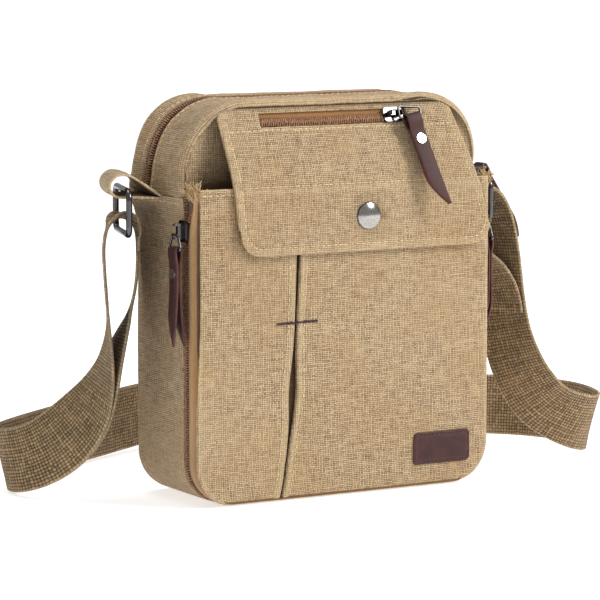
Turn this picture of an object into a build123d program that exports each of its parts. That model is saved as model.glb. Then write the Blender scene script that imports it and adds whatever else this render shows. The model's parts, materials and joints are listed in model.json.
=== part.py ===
from build123d import *
import math
import os

os.makedirs("parts", exist_ok=True)

# ---------------------------------------------------------------- driving dimensions (mm)
# X is to the bag's own right as it is looked at, -Y is its front, +Z is up, z = 0 is the floor.
BAG_WIDTH = 205
BAG_HEIGHT = 240
TOP_RADIUS = 44
BOTTOM_RADIUS = 26
BODY_FRONT = -21.5
BODY_BACK = 39
CANVAS = 1.6
THIN = 0.5
GUSSET_SPLIT = 184
LINING_TOP = 180
MAIN_ZIP_Y = 18
MAIN_TAPE_WIDTH = 12
TAPE = 0.8

POCKET_WIDTH = 204
POCKET_TOP = 190
POCKET_FRONT = -39
POCKET_ZIP_TOP = 184
POCKET_ZIP_Y = -24
POCKET_ZIP_END_X = 68
FACING = 1.0
FOLD_LINE = [(-32, 190), (-36, 104), (-39, 49), (-45, 0)]
FOLD_GAP = 0.4
SNAP = (12.5, 170)

CHAIN_WIDTH = 4.4
CHAIN_PROUD = 1.0

FLAP_TOP = (-82.5, 78.5, 240.5)
FLAP_BOTTOM = (-75, 102.9, 149)
FLAP_CORNER = 15
FLAP_EDGE_INSET = 2
FLAP_SIDE_LINE = [(-22.1, 235.5), (-39.9, 190), (-40.4, 149)]
FLAP_LINING = 0.8
FLAP_OUTER = 2.4
WINDOW = (-54, 48, 223.6, 232.0)
FLAP_CHAIN_TOP = 3.2

WEBBING_WIDTH = 40
WEBBING = 1.8
LAYER_OFFSET = 1.3

RING_WIDTH = 46
RING_HEIGHT = 26
RING_WIRE = 3.8
RING_CORNER = 5.2
RING_TAB_WIDTH = 35
LEFT_RING_TOP = (-123.5, 16, 188)
RIGHT_RING_TOP = (123, 16, 184)
LEFT_RING_TWIST = 17

SLIDER_WIDTH = 9
SLIDER_LENGTH = 13
SLIDER_GAP = 0.3
BAIL_HEIGHT = 6.2
FLAP_BAIL_HEIGHT = 5.5
PIVOT_SHIFT = 1.8
SIDE_LINK_LENGTH = 9
MAIN_LINK_LENGTH = 22
FLAP_LINK_LENGTH = 15
LINK_WIDTH = 7
LINK_END_WIDTH = 14.4
LINK_WIRE = 1.6
TAB_WIDTH = 10.4
TAB_LENGTH = 57
TAB_LEATHER = 1.5
TAB_EYE = 1.15
FLAP_TAB_EYE = 2.1
RIVET_DOWN = 14


# ---------------------------------------------------------------- shared shapes
def bag_slab(inset, front, back, mode=Mode.ADD):
    """A slab with the bag's round-cornered front outline, moved in by inset."""
    with BuildSketch(Plane.XZ.offset(-back)) as outline:
        with Locations((0, BAG_HEIGHT / 2)):
            Rectangle(BAG_WIDTH - 2 * inset, BAG_HEIGHT - 2 * inset)
        corners = outline.vertices().group_by(Axis.Y)
        fillet(corners[-1], TOP_RADIUS - inset)
        corners = outline.vertices().group_by(Axis.Y)
        fillet(corners[0], BOTTOM_RADIUS - inset)
    extrude(outline.sketch, amount=back - front, mode=mode)


def bag_band(inset, thickness, front, back):
    """A band of cloth that follows the bag's outline all the way round."""
    bag_slab(inset, front, back)
    bag_slab(inset + thickness, front, back, mode=Mode.SUBTRACT)


def pocket_slab(inset, front, back, top=POCKET_TOP, mode=Mode.ADD):
    """A slab with the front pocket's outline: square at its open top, round below."""
    with BuildSketch(Plane.XZ.offset(-back)) as outline:
        with Locations((0, inset)):
            Rectangle(POCKET_WIDTH - 2 * inset, top - inset, align=(Align.CENTER, Align.MIN))
        corners = outline.vertices().group_by(Axis.Y)
        fillet(corners[0], BOTTOM_RADIUS - inset)
    extrude(outline.sketch, amount=back - front, mode=mode)


def pocket_band(inset, thickness, front, back, top=POCKET_TOP):
    """A band that follows the pocket's two sides and its bottom."""
    pocket_slab(inset, front, back, top=top)
    pocket_slab(inset + thickness, front, back, top=top + 1, mode=Mode.SUBTRACT)


def offset_side_line(depth):
    """The flap's side line, moved out from its inner face by depth."""
    (y0, z0), (y1, z1), (y2, z2) = FLAP_SIDE_LINE
    upper = Vector(z1 - z0, y0 - y1).normalized()
    lower = Vector(z2 - z1, y1 - y2).normalized()
    bend = (upper + lower) * (depth / (1 + upper.dot(lower)))
    first = Vector(y0, z0) + upper * depth
    last = Vector(y2, z2) + lower * depth
    return [(first.X, first.Y), (y1 + bend.X, z1 + bend.Y), (last.X, last.Y)]


def flap_layer(inner, outer):
    """One cloth layer of the flap, between two depths, cut to the flap's front outline."""
    top_left, top_right, top = FLAP_TOP
    bottom_left, bottom_right, bottom = FLAP_BOTTOM
    with BuildSketch(Plane.YZ.offset(top_left - 5)) as profile:
        with BuildLine():
            Polyline(*offset_side_line(inner), *reversed(offset_side_line(outer)), close=True)
        make_face()
    extrude(profile.sketch, amount=bottom_right - top_left + 10)
    with BuildSketch(Plane.XZ) as outline:
        with BuildLine():
            Polyline(
                (top_left, top),
                (bottom_left, bottom),
                (bottom_right, bottom),
                (top_right, top),
                close=True,
            )
        make_face()
        corners = outline.vertices().group_by(Axis.Y)
        fillet(corners[0], FLAP_CORNER)
    extrude(outline.sketch, amount=60, mode=Mode.INTERSECT)
    bag_slab(FLAP_EDGE_INSET, -60, 60, mode=Mode.INTERSECT)


def flap_plane(x, z, depth):
    """A plane on the flap's slanted upper part: local x to the right, local y up the slant."""
    (y0, z0), (y1, z1) = FLAP_SIDE_LINE[:2]
    along = Vector(0, y0 - y1, z0 - z1).normalized()
    normal = Vector(1, 0, 0).cross(along)
    y = y0 + (y1 - y0) * (z0 - z) / (z0 - z1)
    return Plane(origin=Vector(x, y, z) + normal * depth, x_dir=(1, 0, 0), z_dir=normal)


def window_slab(low, high, inner, outer, left=WINDOW[0], right=WINDOW[1], mode=Mode.ADD):
    """A bar in the flap's zip window, between two heights and two depths."""
    middle = (WINDOW[2] + WINDOW[3]) / 2
    plane = flap_plane(0, middle, inner)
    with BuildSketch(plane) as window:
        with Locations(((left + right) / 2, (low + high) / 2 - middle)):
            Rectangle(right - left, high - low)
    extrude(window.sketch, amount=outer - inner, mode=mode)


def wire_loop(plane, top, bottom, length, wire, corner):
    """A closed four-sided loop of round wire, from local y = 0 down to -length."""
    high = top / 2
    low = bottom / 2
    with BuildLine(plane) as path:
        FilletPolyline((high, 0), (low, -length), (-low, -length), (-high, 0), close=True, radius=corner)
    with BuildSketch(Plane(origin=path.line @ 0, z_dir=path.line % 0)) as section:
        Circle(wire / 2)
    sweep(section.sketch, path=path.line)


def zip_slider(plane, bail_height):
    """A zip slider: wing over the chain, two side flanges, and the bail that holds its link."""
    with BuildPart() as slider:
        with BuildSketch(plane.offset(SLIDER_GAP)):
            RectangleRounded(SLIDER_WIDTH, SLIDER_LENGTH, 2.4)
        extrude(amount=1.3)
        with BuildSketch(plane.offset(SLIDER_GAP)):
            with Locations((SLIDER_WIDTH / 2 - 0.7, 0), (0.7 - SLIDER_WIDTH / 2, 0)):
                Rectangle(1.4, SLIDER_LENGTH - 5)
        extrude(amount=-0.8)
        side = Plane(origin=plane.origin, x_dir=plane.y_dir, z_dir=plane.x_dir)
        with BuildSketch(side):
            with Locations((0, bail_height / 2 + 1.3)):
                RectangleRounded(9.6, bail_height - 0.2, 1.6)
            with Locations((0, bail_height)):
                Rectangle(6.8, 2.4, mode=Mode.SUBTRACT)
        extrude(amount=1.3, both=True)
    return slider


def zip_link(plane, end_width, length):
    """The bent-wire loop between a slider's bail and its leather tab."""
    with BuildPart() as link:
        wire_loop(plane, LINK_WIDTH, end_width, length, LINK_WIRE, 1.4)
    return link


def leather_tab(plane, eye_radius):
    """A strip of leather folded round the link, its two leaves together below, with a knife tip."""
    outside = eye_radius + TAB_LEATHER
    with BuildPart() as tab:
        side = Plane(origin=plane.origin, x_dir=-plane.y_dir, z_dir=-plane.x_dir)
        with BuildSketch(side):
            with BuildLine():
                arc = CenterArc((0, 0), outside, 90, 180)
                Polyline(arc @ 1, (11, -TAB_LEATHER - 0.1), (TAB_LENGTH, -TAB_LEATHER - 0.1))
                Line((TAB_LENGTH, -TAB_LEATHER - 0.1), (TAB_LENGTH, TAB_LEATHER + 0.1))
                Polyline((TAB_LENGTH, TAB_LEATHER + 0.1), (11, TAB_LEATHER + 0.1), arc @ 0)
            make_face()
            with BuildLine():
                eye = CenterArc((0, 0), eye_radius, 90, 180)
                Polyline(eye @ 1, (9, 0), eye @ 0)
            make_face(mode=Mode.SUBTRACT)
        extrude(amount=TAB_WIDTH / 2, both=True)
        with BuildSketch(plane.offset(-5)):
            with BuildLine():
                Polyline(
                    (-TAB_WIDTH, 1 - TAB_LENGTH),
                    (-TAB_WIDTH, -TAB_LENGTH * 0.66),
                    (-TAB_WIDTH / 2, -TAB_LENGTH * 0.66),
                    (TAB_WIDTH / 2 - 1, -TAB_LENGTH),
                    (TAB_WIDTH / 2 - 1, -TAB_LENGTH - 2),
                    (-TAB_WIDTH, -TAB_LENGTH - 2),
                    close=True,
                )
            make_face()
        extrude(amount=10, mode=Mode.SUBTRACT)
        with BuildSketch(plane.offset(-5)):
            with Locations((0, -RIVET_DOWN)):
                Circle(1.5)
        extrude(amount=10, mode=Mode.SUBTRACT)
    return tab


def tab_rivet(plane):
    """The rivet through both leaves of a leather tab: a shank and a head on each face."""
    face = TAB_LEATHER + 0.1
    with BuildPart() as rivet:
        with BuildSketch(plane.offset(-face)):
            with Locations((0, -RIVET_DOWN)):
                Circle(1.5)
        extrude(amount=2 * face)
        for direction in (1, -1):
            with BuildSketch(plane.offset(direction * face)):
                with Locations((0, -RIVET_DOWN)):
                    Circle(3.2)
            extrude(amount=direction * 0.8)
    return rivet


def save(part, name):
    """Labels a finished piece and writes it under its node's name."""
    part.label = name
    export_step(part, f"parts/{name}.step")


# ---------------------------------------------------------------- main compartment
with BuildPart() as back_panel:
    bag_slab(0, BODY_BACK - CANVAS, BODY_BACK)
back_panel.part.label = "back_panel"
export_step(back_panel.part, "parts/back_panel.step")

with BuildPart() as front_panel:
    bag_slab(0, BODY_FRONT, BODY_FRONT + CANVAS)
front_panel.part.label = "front_panel"
export_step(front_panel.part, "parts/front_panel.step")

GUSSET_FRONT = BODY_FRONT + CANVAS
GUSSET_BACK = BODY_BACK - CANVAS
TAPE_FRONT = MAIN_ZIP_Y - MAIN_TAPE_WIDTH / 2
TAPE_BACK = MAIN_ZIP_Y + MAIN_TAPE_WIDTH / 2

with BuildPart() as lower_gusset:
    bag_band(0, CANVAS, GUSSET_FRONT, GUSSET_BACK)
    split(bisect_by=Plane.XY.offset(GUSSET_SPLIT), keep=Keep.BOTTOM)
lower_gusset.part.label = "lower_gusset"
export_step(lower_gusset.part, "parts/lower_gusset.step")

with BuildPart() as upper_gusset_front:
    bag_band(0, CANVAS, GUSSET_FRONT, TAPE_FRONT)
    split(bisect_by=Plane.XY.offset(GUSSET_SPLIT), keep=Keep.TOP)
upper_gusset_front.part.label = "upper_gusset_front"
export_step(upper_gusset_front.part, "parts/upper_gusset_front.step")

with BuildPart() as upper_gusset_rear:
    bag_band(0, CANVAS, TAPE_BACK, GUSSET_BACK)
    split(bisect_by=Plane.XY.offset(GUSSET_SPLIT), keep=Keep.TOP)
upper_gusset_rear.part.label = "upper_gusset_rear"
export_step(upper_gusset_rear.part, "parts/upper_gusset_rear.step")

with BuildPart() as main_zip_tapes:
    bag_band(0.4, TAPE, TAPE_FRONT, MAIN_ZIP_Y - CHAIN_WIDTH / 2)
    bag_band(0.4, TAPE, MAIN_ZIP_Y + CHAIN_WIDTH / 2, TAPE_BACK)
    split(bisect_by=Plane.XY.offset(GUSSET_SPLIT), keep=Keep.TOP)
main_zip_tapes.part.label = "main_zip_tapes"
export_step(main_zip_tapes.part, "parts/main_zip_tapes.step")

with BuildPart() as main_zip_chain:
    bag_band(-CHAIN_PROUD, CHAIN_PROUD + 1.2, MAIN_ZIP_Y - CHAIN_WIDTH / 2, MAIN_ZIP_Y + CHAIN_WIDTH / 2)
    split(bisect_by=Plane.XY.offset(GUSSET_SPLIT), keep=Keep.TOP)
main_zip_chain.part.label = "main_zip_chain"
export_step(main_zip_chain.part, "parts/main_zip_chain.step")

with BuildPart() as lining:
    bag_slab(CANVAS, GUSSET_FRONT, GUSSET_BACK)
    bag_slab(CANVAS + THIN, GUSSET_FRONT + THIN, GUSSET_BACK - THIN, mode=Mode.SUBTRACT)
    split(bisect_by=Plane.XY.offset(LINING_TOP), keep=Keep.BOTTOM)
lining.part.label = "lining"
export_step(lining.part, "parts/lining.step")

BINDING_INSET = CANVAS + THIN
with BuildPart() as front_seam_binding:
    bag_band(BINDING_INSET, 1.0, GUSSET_FRONT + THIN, GUSSET_FRONT + THIN + 6)
front_seam_binding.part.label = "front_seam_binding"
export_step(front_seam_binding.part, "parts/front_seam_binding.step")

with BuildPart() as back_seam_binding:
    bag_band(BINDING_INSET, 1.0, GUSSET_BACK - THIN - 6, GUSSET_BACK - THIN)
back_seam_binding.part.label = "back_seam_binding"
export_step(back_seam_binding.part, "parts/back_seam_binding.step")

# ---------------------------------------------------------------- front pocket
PANEL_BACK = POCKET_FRONT + CANVAS
ZIP_EDGE = POCKET_ZIP_Y - CHAIN_WIDTH / 2

with BuildPart() as pocket_facing:
    pocket_band(0, FACING, PANEL_BACK, ZIP_EDGE)
    with BuildSketch(Plane.XZ.offset(-BODY_FRONT)):
        Rectangle(2 * POCKET_ZIP_END_X, FACING, align=(Align.CENTER, Align.MIN))
    extrude(amount=BODY_FRONT - ZIP_EDGE)
pocket_facing.part.label = "pocket_facing"
export_step(pocket_facing.part, "parts/pocket_facing.step")

with BuildPart() as pocket_zip_tapes:
    pocket_band(FACING, TAPE, ZIP_EDGE - 3, BODY_FRONT)
pocket_zip_tapes.part.label = "pocket_zip_tapes"
export_step(pocket_zip_tapes.part, "parts/pocket_zip_tapes.step")


def pocket_chain(side):
    """The coil chain down one side of the pocket and round its bottom corner."""
    with BuildPart() as chain:
        pocket_band(-CHAIN_PROUD, CHAIN_PROUD + FACING, ZIP_EDGE, BODY_FRONT - 0.3, top=POCKET_ZIP_TOP)
        with BuildSketch(Plane.XZ.offset(-BODY_FRONT)):
            with Locations((side * (POCKET_ZIP_END_X + 50), 90)):
                Rectangle(100, 220)
        extrude(amount=10, mode=Mode.INTERSECT)
        with BuildSketch(Plane.XY):
            Rectangle(2 * BAG_WIDTH, 200)
        extrude(amount=-5, mode=Mode.SUBTRACT)
    return chain


pocket_zip_chain_left = pocket_chain(-1)
pocket_zip_chain_left.part.label = "pocket_zip_chain_left"
export_step(pocket_zip_chain_left.part, "parts/pocket_zip_chain_left.step")

pocket_zip_chain_right = pocket_chain(1)
pocket_zip_chain_right.part.label = "pocket_zip_chain_right"
export_step(pocket_zip_chain_right.part, "parts/pocket_zip_chain_right.step")


def pocket_panel(side):
    """One half of the pocket's front, cut along the pleat's fold line."""
    line = [(x + side * (FOLD_GAP + (POCKET_TOP - z) / 120), z) for x, z in FOLD_LINE]
    edge = side * BAG_WIDTH
    with BuildPart() as panel:
        pocket_slab(0, POCKET_FRONT, PANEL_BACK)
        with BuildSketch(Plane.XZ.offset(-PANEL_BACK)):
            with BuildLine():
                Spline(*line)
                Polyline(line[-1], (line[-1][0], -5), (edge, -5), (edge, 200), (line[0][0], 200), line[0])
            make_face()
        extrude(amount=CANVAS, mode=Mode.INTERSECT)
        with BuildSketch(Plane.XZ.offset(-PANEL_BACK)):
            with Locations(SNAP):
                Circle(2.5)
        extrude(amount=CANVAS, mode=Mode.SUBTRACT)
    return panel


pocket_panel_left = pocket_panel(-1)
pocket_panel_left.part.label = "pocket_panel_left"
export_step(pocket_panel_left.part, "parts/pocket_panel_left.step")

pocket_panel_right = pocket_panel(1)
pocket_panel_right.part.label = "pocket_panel_right"
export_step(pocket_panel_right.part, "parts/pocket_panel_right.step")

with BuildPart() as pleat_underlay:
    with BuildSketch(Plane.XZ.offset(-PANEL_BACK - THIN)):
        with BuildLine():
            Polyline((-44, 188), (-20, 188), (-32, 2), (-58, 2), close=True)
        make_face()
    extrude(amount=THIN)
pleat_underlay.part.label = "pleat_underlay"
export_step(pleat_underlay.part, "parts/pleat_underlay.step")

with BuildPart() as bar_tack:
    with BuildSketch(Plane.XZ.offset(-POCKET_FRONT)):
        with Locations((-35, 108)):
            Rectangle(28, 2.2)
    extrude(amount=0.5)
bar_tack.part.label = "bar_tack"
export_step(bar_tack.part, "parts/bar_tack.step")

with BuildPart() as label_patch:
    with BuildSketch(Plane.XZ.offset(-POCKET_FRONT)):
        with Locations((67.5, 24)):
            RectangleRounded(41, 20, 1.5)
    extrude(amount=1.2)
label_patch.part.label = "label_patch"
export_step(label_patch.part, "parts/label_patch.step")

with BuildPart() as snap_stud:
    with BuildSketch(Plane.XZ.offset(-PANEL_BACK)):
        with Locations(SNAP):
            Circle(2.5)
    extrude(amount=CANVAS + 1.6)
    with BuildSketch(Plane.XZ.offset(-PANEL_BACK)):
        with Locations(SNAP):
            Circle(4.5)
    extrude(amount=-0.6)
snap_stud.part.label = "snap_stud"
export_step(snap_stud.part, "parts/snap_stud.step")

# ---------------------------------------------------------------- flap
with BuildPart() as flap_outer:
    flap_layer(FLAP_LINING, FLAP_OUTER)
    window_slab(WINDOW[2], WINDOW[3], 0, 4, mode=Mode.SUBTRACT)
flap_outer.part.label = "flap_outer"
export_step(flap_outer.part, "parts/flap_outer.step")

with BuildPart() as flap_lining:
    flap_layer(0, FLAP_LINING)
    window_slab(WINDOW[2], WINDOW[3], -1, 4, mode=Mode.SUBTRACT)
    with BuildSketch(Plane.XZ.offset(35)):
        with Locations(SNAP):
            Circle(5.5)
    extrude(amount=10, mode=Mode.SUBTRACT)
flap_lining.part.label = "flap_lining"
export_step(flap_lining.part, "parts/flap_lining.step")

ZIP_MIDDLE = (WINDOW[2] + WINDOW[3]) / 2
with BuildPart() as flap_zip_tape:
    window_slab(WINDOW[2], ZIP_MIDDLE - CHAIN_WIDTH / 2, FLAP_LINING, FLAP_LINING + TAPE)
    window_slab(ZIP_MIDDLE + CHAIN_WIDTH / 2, WINDOW[3], FLAP_LINING, FLAP_LINING + TAPE)
flap_zip_tape.part.label = "flap_zip_tape"
export_step(flap_zip_tape.part, "parts/flap_zip_tape.step")

with BuildPart() as flap_zip_chain:
    window_slab(ZIP_MIDDLE - CHAIN_WIDTH / 2, ZIP_MIDDLE + CHAIN_WIDTH / 2, FLAP_LINING, FLAP_CHAIN_TOP)
flap_zip_chain.part.label = "flap_zip_chain"
export_step(flap_zip_chain.part, "parts/flap_zip_chain.step")

SNAP_OUTER = -42.9
with BuildPart() as snap_cap:
    with BuildSketch(Plane.YZ.offset(SNAP[0])):
        with BuildLine():
            dome = ThreePointArc(
                (SNAP_OUTER - 2.6, SNAP[1]),
                (SNAP_OUTER - 2.1, SNAP[1] + 4.2),
                (SNAP_OUTER - 0.7, SNAP[1] + 7.8),
            )
            Polyline(dome @ 1, (SNAP_OUTER, SNAP[1] + 7.8), (SNAP_OUTER, SNAP[1]), dome @ 0)
        make_face()
    revolve(axis=Axis((SNAP[0], 0, SNAP[1]), (0, 1, 0)))
snap_cap.part.label = "snap_cap"
export_step(snap_cap.part, "parts/snap_cap.step")

SOCKET_DEPTH = 1.2
with BuildPart() as snap_socket:
    with BuildSketch(Plane.XZ.offset(39.6)):
        with Locations(SNAP):
            Circle(5.4)
            Circle(3.1, mode=Mode.SUBTRACT)
    extrude(amount=SOCKET_DEPTH)
snap_socket.part.label = "snap_socket"
export_step(snap_socket.part, "parts/snap_socket.step")


# ---------------------------------------------------------------- rings and their tabs
def ring_plane(top, twist):
    """A plane through a ring, hanging from the middle of its top bar; local x along the bar."""
    along = Vector(math.sin(math.radians(twist)), math.cos(math.radians(twist)), 0)
    return Plane(origin=top, x_dir=along, z_dir=along.cross(Vector(0, 0, 1)))


def ring_tab(plane, side, base_height):
    """A canvas loop from the seam at the bag's side, round the ring's top bar and back."""
    inner = RING_WIRE / 2 + 0.4
    outer = inner + CANVAS
    reach = 34
    drop = (plane.origin.Z - base_height) * reach / 23
    inward = Vector(-side, 0, 0)
    square = inward - plane.x_dir * inward.dot(plane.x_dir)
    profile = Plane(origin=plane.origin, x_dir=square, z_dir=plane.x_dir)
    up = 1 if profile.y_dir.Z > 0 else -1
    with BuildPart() as tab:
        with BuildSketch(profile):
            with BuildLine():
                turn = CenterArc((0, 0), outer, 90, 180)
                Polyline(turn @ 1, (12, -CANVAS - up * drop * 12 / reach), (reach, -CANVAS - up * drop))
                Line((reach, -CANVAS - up * drop), (reach, CANVAS - up * drop))
                Polyline((reach, CANVAS - up * drop), (12, CANVAS - up * drop * 12 / reach), turn @ 0)
            make_face()
            with BuildLine():
                eye = CenterArc((0, 0), inner, 90, 180)
                Polyline(eye @ 1, (10, -up * drop * 10 / reach), eye @ 0)
            make_face(mode=Mode.SUBTRACT)
        extrude(amount=RING_TAB_WIDTH / 2, both=True)
        wall = Plane(origin=(side * BAG_WIDTH / 2, 0, 0), z_dir=(side, 0, 0))
        split(bisect_by=wall, keep=Keep.TOP)
    return tab


left_ring_plane = ring_plane(LEFT_RING_TOP, LEFT_RING_TWIST)
right_ring_plane = ring_plane(RIGHT_RING_TOP, 0)

ring_tab_left = ring_tab(left_ring_plane, -1, 180)
ring_tab_left.part.label = "ring_tab_left"
export_step(ring_tab_left.part, "parts/ring_tab_left.step")

ring_tab_right = ring_tab(right_ring_plane, 1, 180)
ring_tab_right.part.label = "ring_tab_right"
export_step(ring_tab_right.part, "parts/ring_tab_right.step")

with BuildPart() as ring_left:
    wire_loop(left_ring_plane, RING_WIDTH, RING_WIDTH, RING_HEIGHT, RING_WIRE, RING_CORNER)
ring_left.part.label = "ring_left"
export_step(ring_left.part, "parts/ring_left.step")

with BuildPart() as ring_right:
    wire_loop(right_ring_plane, RING_WIDTH, RING_WIDTH, RING_HEIGHT, RING_WIRE, RING_CORNER)
ring_right.part.label = "ring_right"
export_step(ring_right.part, "parts/ring_right.step")

# ---------------------------------------------------------------- zip pulls
CHAIN_X = POCKET_WIDTH / 2 + CHAIN_PROUD
LEFT_SLIDER_Z = 165
RIGHT_SLIDER_Z = 160
MAIN_SLIDER_Z = 192.2
FLAP_SLIDER_X = 37.5
FLAP_LINK_TILT = 3
FLAP_TAB_LEAN = 10.5


def link_plane_at(plane, direction):
    """A link's plane: it starts at the slider's bail and runs along direction, local -y."""
    pivot = plane.origin + plane.z_dir * BAIL_HEIGHT - plane.y_dir * PIVOT_SHIFT
    along = Vector(*direction).normalized()
    return Plane(origin=pivot, x_dir=plane.x_dir, z_dir=plane.x_dir.cross(-along))


def tab_plane_at(link_plane, length, direction):
    """A leather tab's plane: it starts on the link's far bar and runs along direction, local -y."""
    bar = link_plane.origin - link_plane.y_dir * length
    along = Vector(*direction).normalized()
    return Plane(origin=bar, x_dir=link_plane.x_dir, z_dir=link_plane.x_dir.cross(-along))


DOWN = (0, 0, -1)
left_slider_plane = Plane(origin=(-CHAIN_X, POCKET_ZIP_Y, LEFT_SLIDER_Z), x_dir=(0, -1, 0), z_dir=(-1, 0, 0))
left_link_plane = link_plane_at(left_slider_plane, DOWN)
left_tab_plane = tab_plane_at(left_link_plane, SIDE_LINK_LENGTH, DOWN)

right_slider_plane = Plane(origin=(CHAIN_X, POCKET_ZIP_Y, RIGHT_SLIDER_Z), x_dir=(0, 1, 0), z_dir=(1, 0, 0))
right_link_plane = link_plane_at(right_slider_plane, DOWN)
right_tab_plane = tab_plane_at(right_link_plane, SIDE_LINK_LENGTH, DOWN)

main_slider_plane = Plane(
    origin=(BAG_WIDTH / 2 + CHAIN_PROUD, MAIN_ZIP_Y, MAIN_SLIDER_Z), x_dir=(0, 1, 0), z_dir=(1, 0, 0)
)
main_link_plane = link_plane_at(main_slider_plane, (1, 0, 0))
main_tab_plane = tab_plane_at(main_link_plane, MAIN_LINK_LENGTH, (0.551, 0, -0.835))


def leaning(plane, degrees):
    """Two directions in a plane, square to each other: across, which rises by degrees, and up."""
    lean = math.radians(degrees)
    across = plane.x_dir * math.cos(lean) + plane.y_dir * math.sin(lean)
    up = plane.y_dir * math.cos(lean) - plane.x_dir * math.sin(lean)
    return across, up


# The flap's link lies along its chain, a little downhill, and its tab hangs from the link's
# long lower side with a lean of its own.
flap_zip_plane = flap_plane(FLAP_SLIDER_X, ZIP_MIDDLE, FLAP_CHAIN_TOP)
link_along, link_up = leaning(flap_zip_plane, -FLAP_LINK_TILT)
tab_across, tab_up = leaning(flap_zip_plane, FLAP_TAB_LEAN)
flap_slider_plane = Plane(flap_zip_plane.origin, x_dir=-flap_zip_plane.y_dir, z_dir=flap_zip_plane.z_dir)
flap_lift = flap_zip_plane.z_dir * FLAP_BAIL_HEIGHT
flap_pivot = flap_zip_plane.origin + flap_lift + flap_zip_plane.x_dir * PIVOT_SHIFT
flap_link_plane = Plane(flap_pivot, x_dir=link_up, z_dir=flap_zip_plane.z_dir)
flap_tab_plane = Plane(
    origin=flap_pivot + link_along * (FLAP_LINK_LENGTH / 2 + 1.2) - link_up * (LINK_WIDTH / 2),
    x_dir=tab_across,
    z_dir=flap_zip_plane.z_dir,
)


def save_pull(name, planes, bail_height, link_end, link_length, tab_eye):
    """Makes and saves a zip's slider, link, leather tab and rivet."""
    slider_plane, link_plane, tab_plane = planes
    save(zip_slider(slider_plane, bail_height).part, f"{name}_zip_slider")
    save(zip_link(link_plane, link_end, link_length).part, f"{name}_zip_link")
    save(leather_tab(tab_plane, tab_eye).part, f"{name}_zip_tab")
    save(tab_rivet(tab_plane).part, f"{name}_zip_rivet")


left_planes = (left_slider_plane, left_link_plane, left_tab_plane)
right_planes = (right_slider_plane, right_link_plane, right_tab_plane)
main_planes = (main_slider_plane, main_link_plane, main_tab_plane)
flap_planes = (flap_slider_plane, flap_link_plane, flap_tab_plane)
save_pull("left", left_planes, BAIL_HEIGHT, LINK_END_WIDTH, SIDE_LINK_LENGTH, TAB_EYE)
save_pull("right", right_planes, BAIL_HEIGHT, LINK_END_WIDTH, SIDE_LINK_LENGTH, TAB_EYE)
save_pull("main", main_planes, BAIL_HEIGHT, LINK_END_WIDTH, MAIN_LINK_LENGTH, TAB_EYE)
save_pull("flap", flap_planes, FLAP_BAIL_HEIGHT, LINK_WIDTH, FLAP_LINK_LENGTH, FLAP_TAB_EYE)

# ---------------------------------------------------------------- shoulder strap
# Each route is a list of (centre, direction across the webbing). The webbing stands on its
# edge on the floor behind the bag, turns round on each side and comes up to the rings.
LEFT_ROUTE = [
    ((-24, 177, 23.4), (0, 0, 1)),
    ((-54, 166, 21.4), (0, 0.1, 1)),
    ((-88, 147, 20.6), (0, 0.1, 1)),
    ((-122, 125, 20.5), (0, 0.1, 1)),
    ((-150, 105, 20.5), (-0.05, 0.1, 1)),
    ((-172, 86, 20.5), (-0.14, 0.15, 1)),
    ((-179, 65, 20.7), (-0.2, 0.25, 0.95)),
    ((-169, 47, 25), (-0.2, 0.25, 0.93)),
    ((-156, 34, 36), (-0.14, 0.36, 0.92)),
    ((-143, 23, 54), (0, 0.62, 0.78)),
    ((-135, 17, 75), (0.22, 0.86, 0.45)),
]
UPRIGHT = (0, 0, 1)
THREAD_LEFT = [
    ((0, 186.5, 24), UPRIGHT),
    ((-5, 186.5, 24), UPRIGHT),
    ((-8.6, 181.6, 24), UPRIGHT),
    ((-12.4, 177.7, 24), UPRIGHT),
]
ADJUSTER_WRAP = [
    ((-1.5, 184.2, 24), UPRIGHT),
    ((4.2, 184.6, 24), UPRIGHT),
    ((4.2, 178.1, 24), UPRIGHT),
    ((-2, 178.2, 24), UPRIGHT),
    ((-11, 175.5, 24), UPRIGHT),
]
ACROSS_LEFT = (0.45, 0.885, -0.12)
LEFT_ARCH = [
    ((-133, 16, 95), (0.36, 0.9, 0.2)),
    ((-133.5, 16, 114), ACROSS_LEFT),
    ((-135.5, 16, 136), ACROSS_LEFT),
    ((-136.5, 16, 154), ACROSS_LEFT),
    ((-134, 16, 166), ACROSS_LEFT),
    ((-125, 16, 172.5), ACROSS_LEFT),
    ((-116.5, 16, 167), ACROSS_LEFT),
    ((-113.6, 16, 160), ACROSS_LEFT),
    ((-113.6, 16, 152), ACROSS_LEFT),
]
LEFT_INNER_LEG = [
    ((-126, 16, 98), (0.36, 0.9, 0.2)),
    ((-118, 16, 115), ACROSS_LEFT),
    ((-113.6, 16, 134), ACROSS_LEFT),
    ((-113.6, 16, 151.7), ACROSS_LEFT),
]
ACROSS_RIGHT = (0.34, -0.94, 0)
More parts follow.
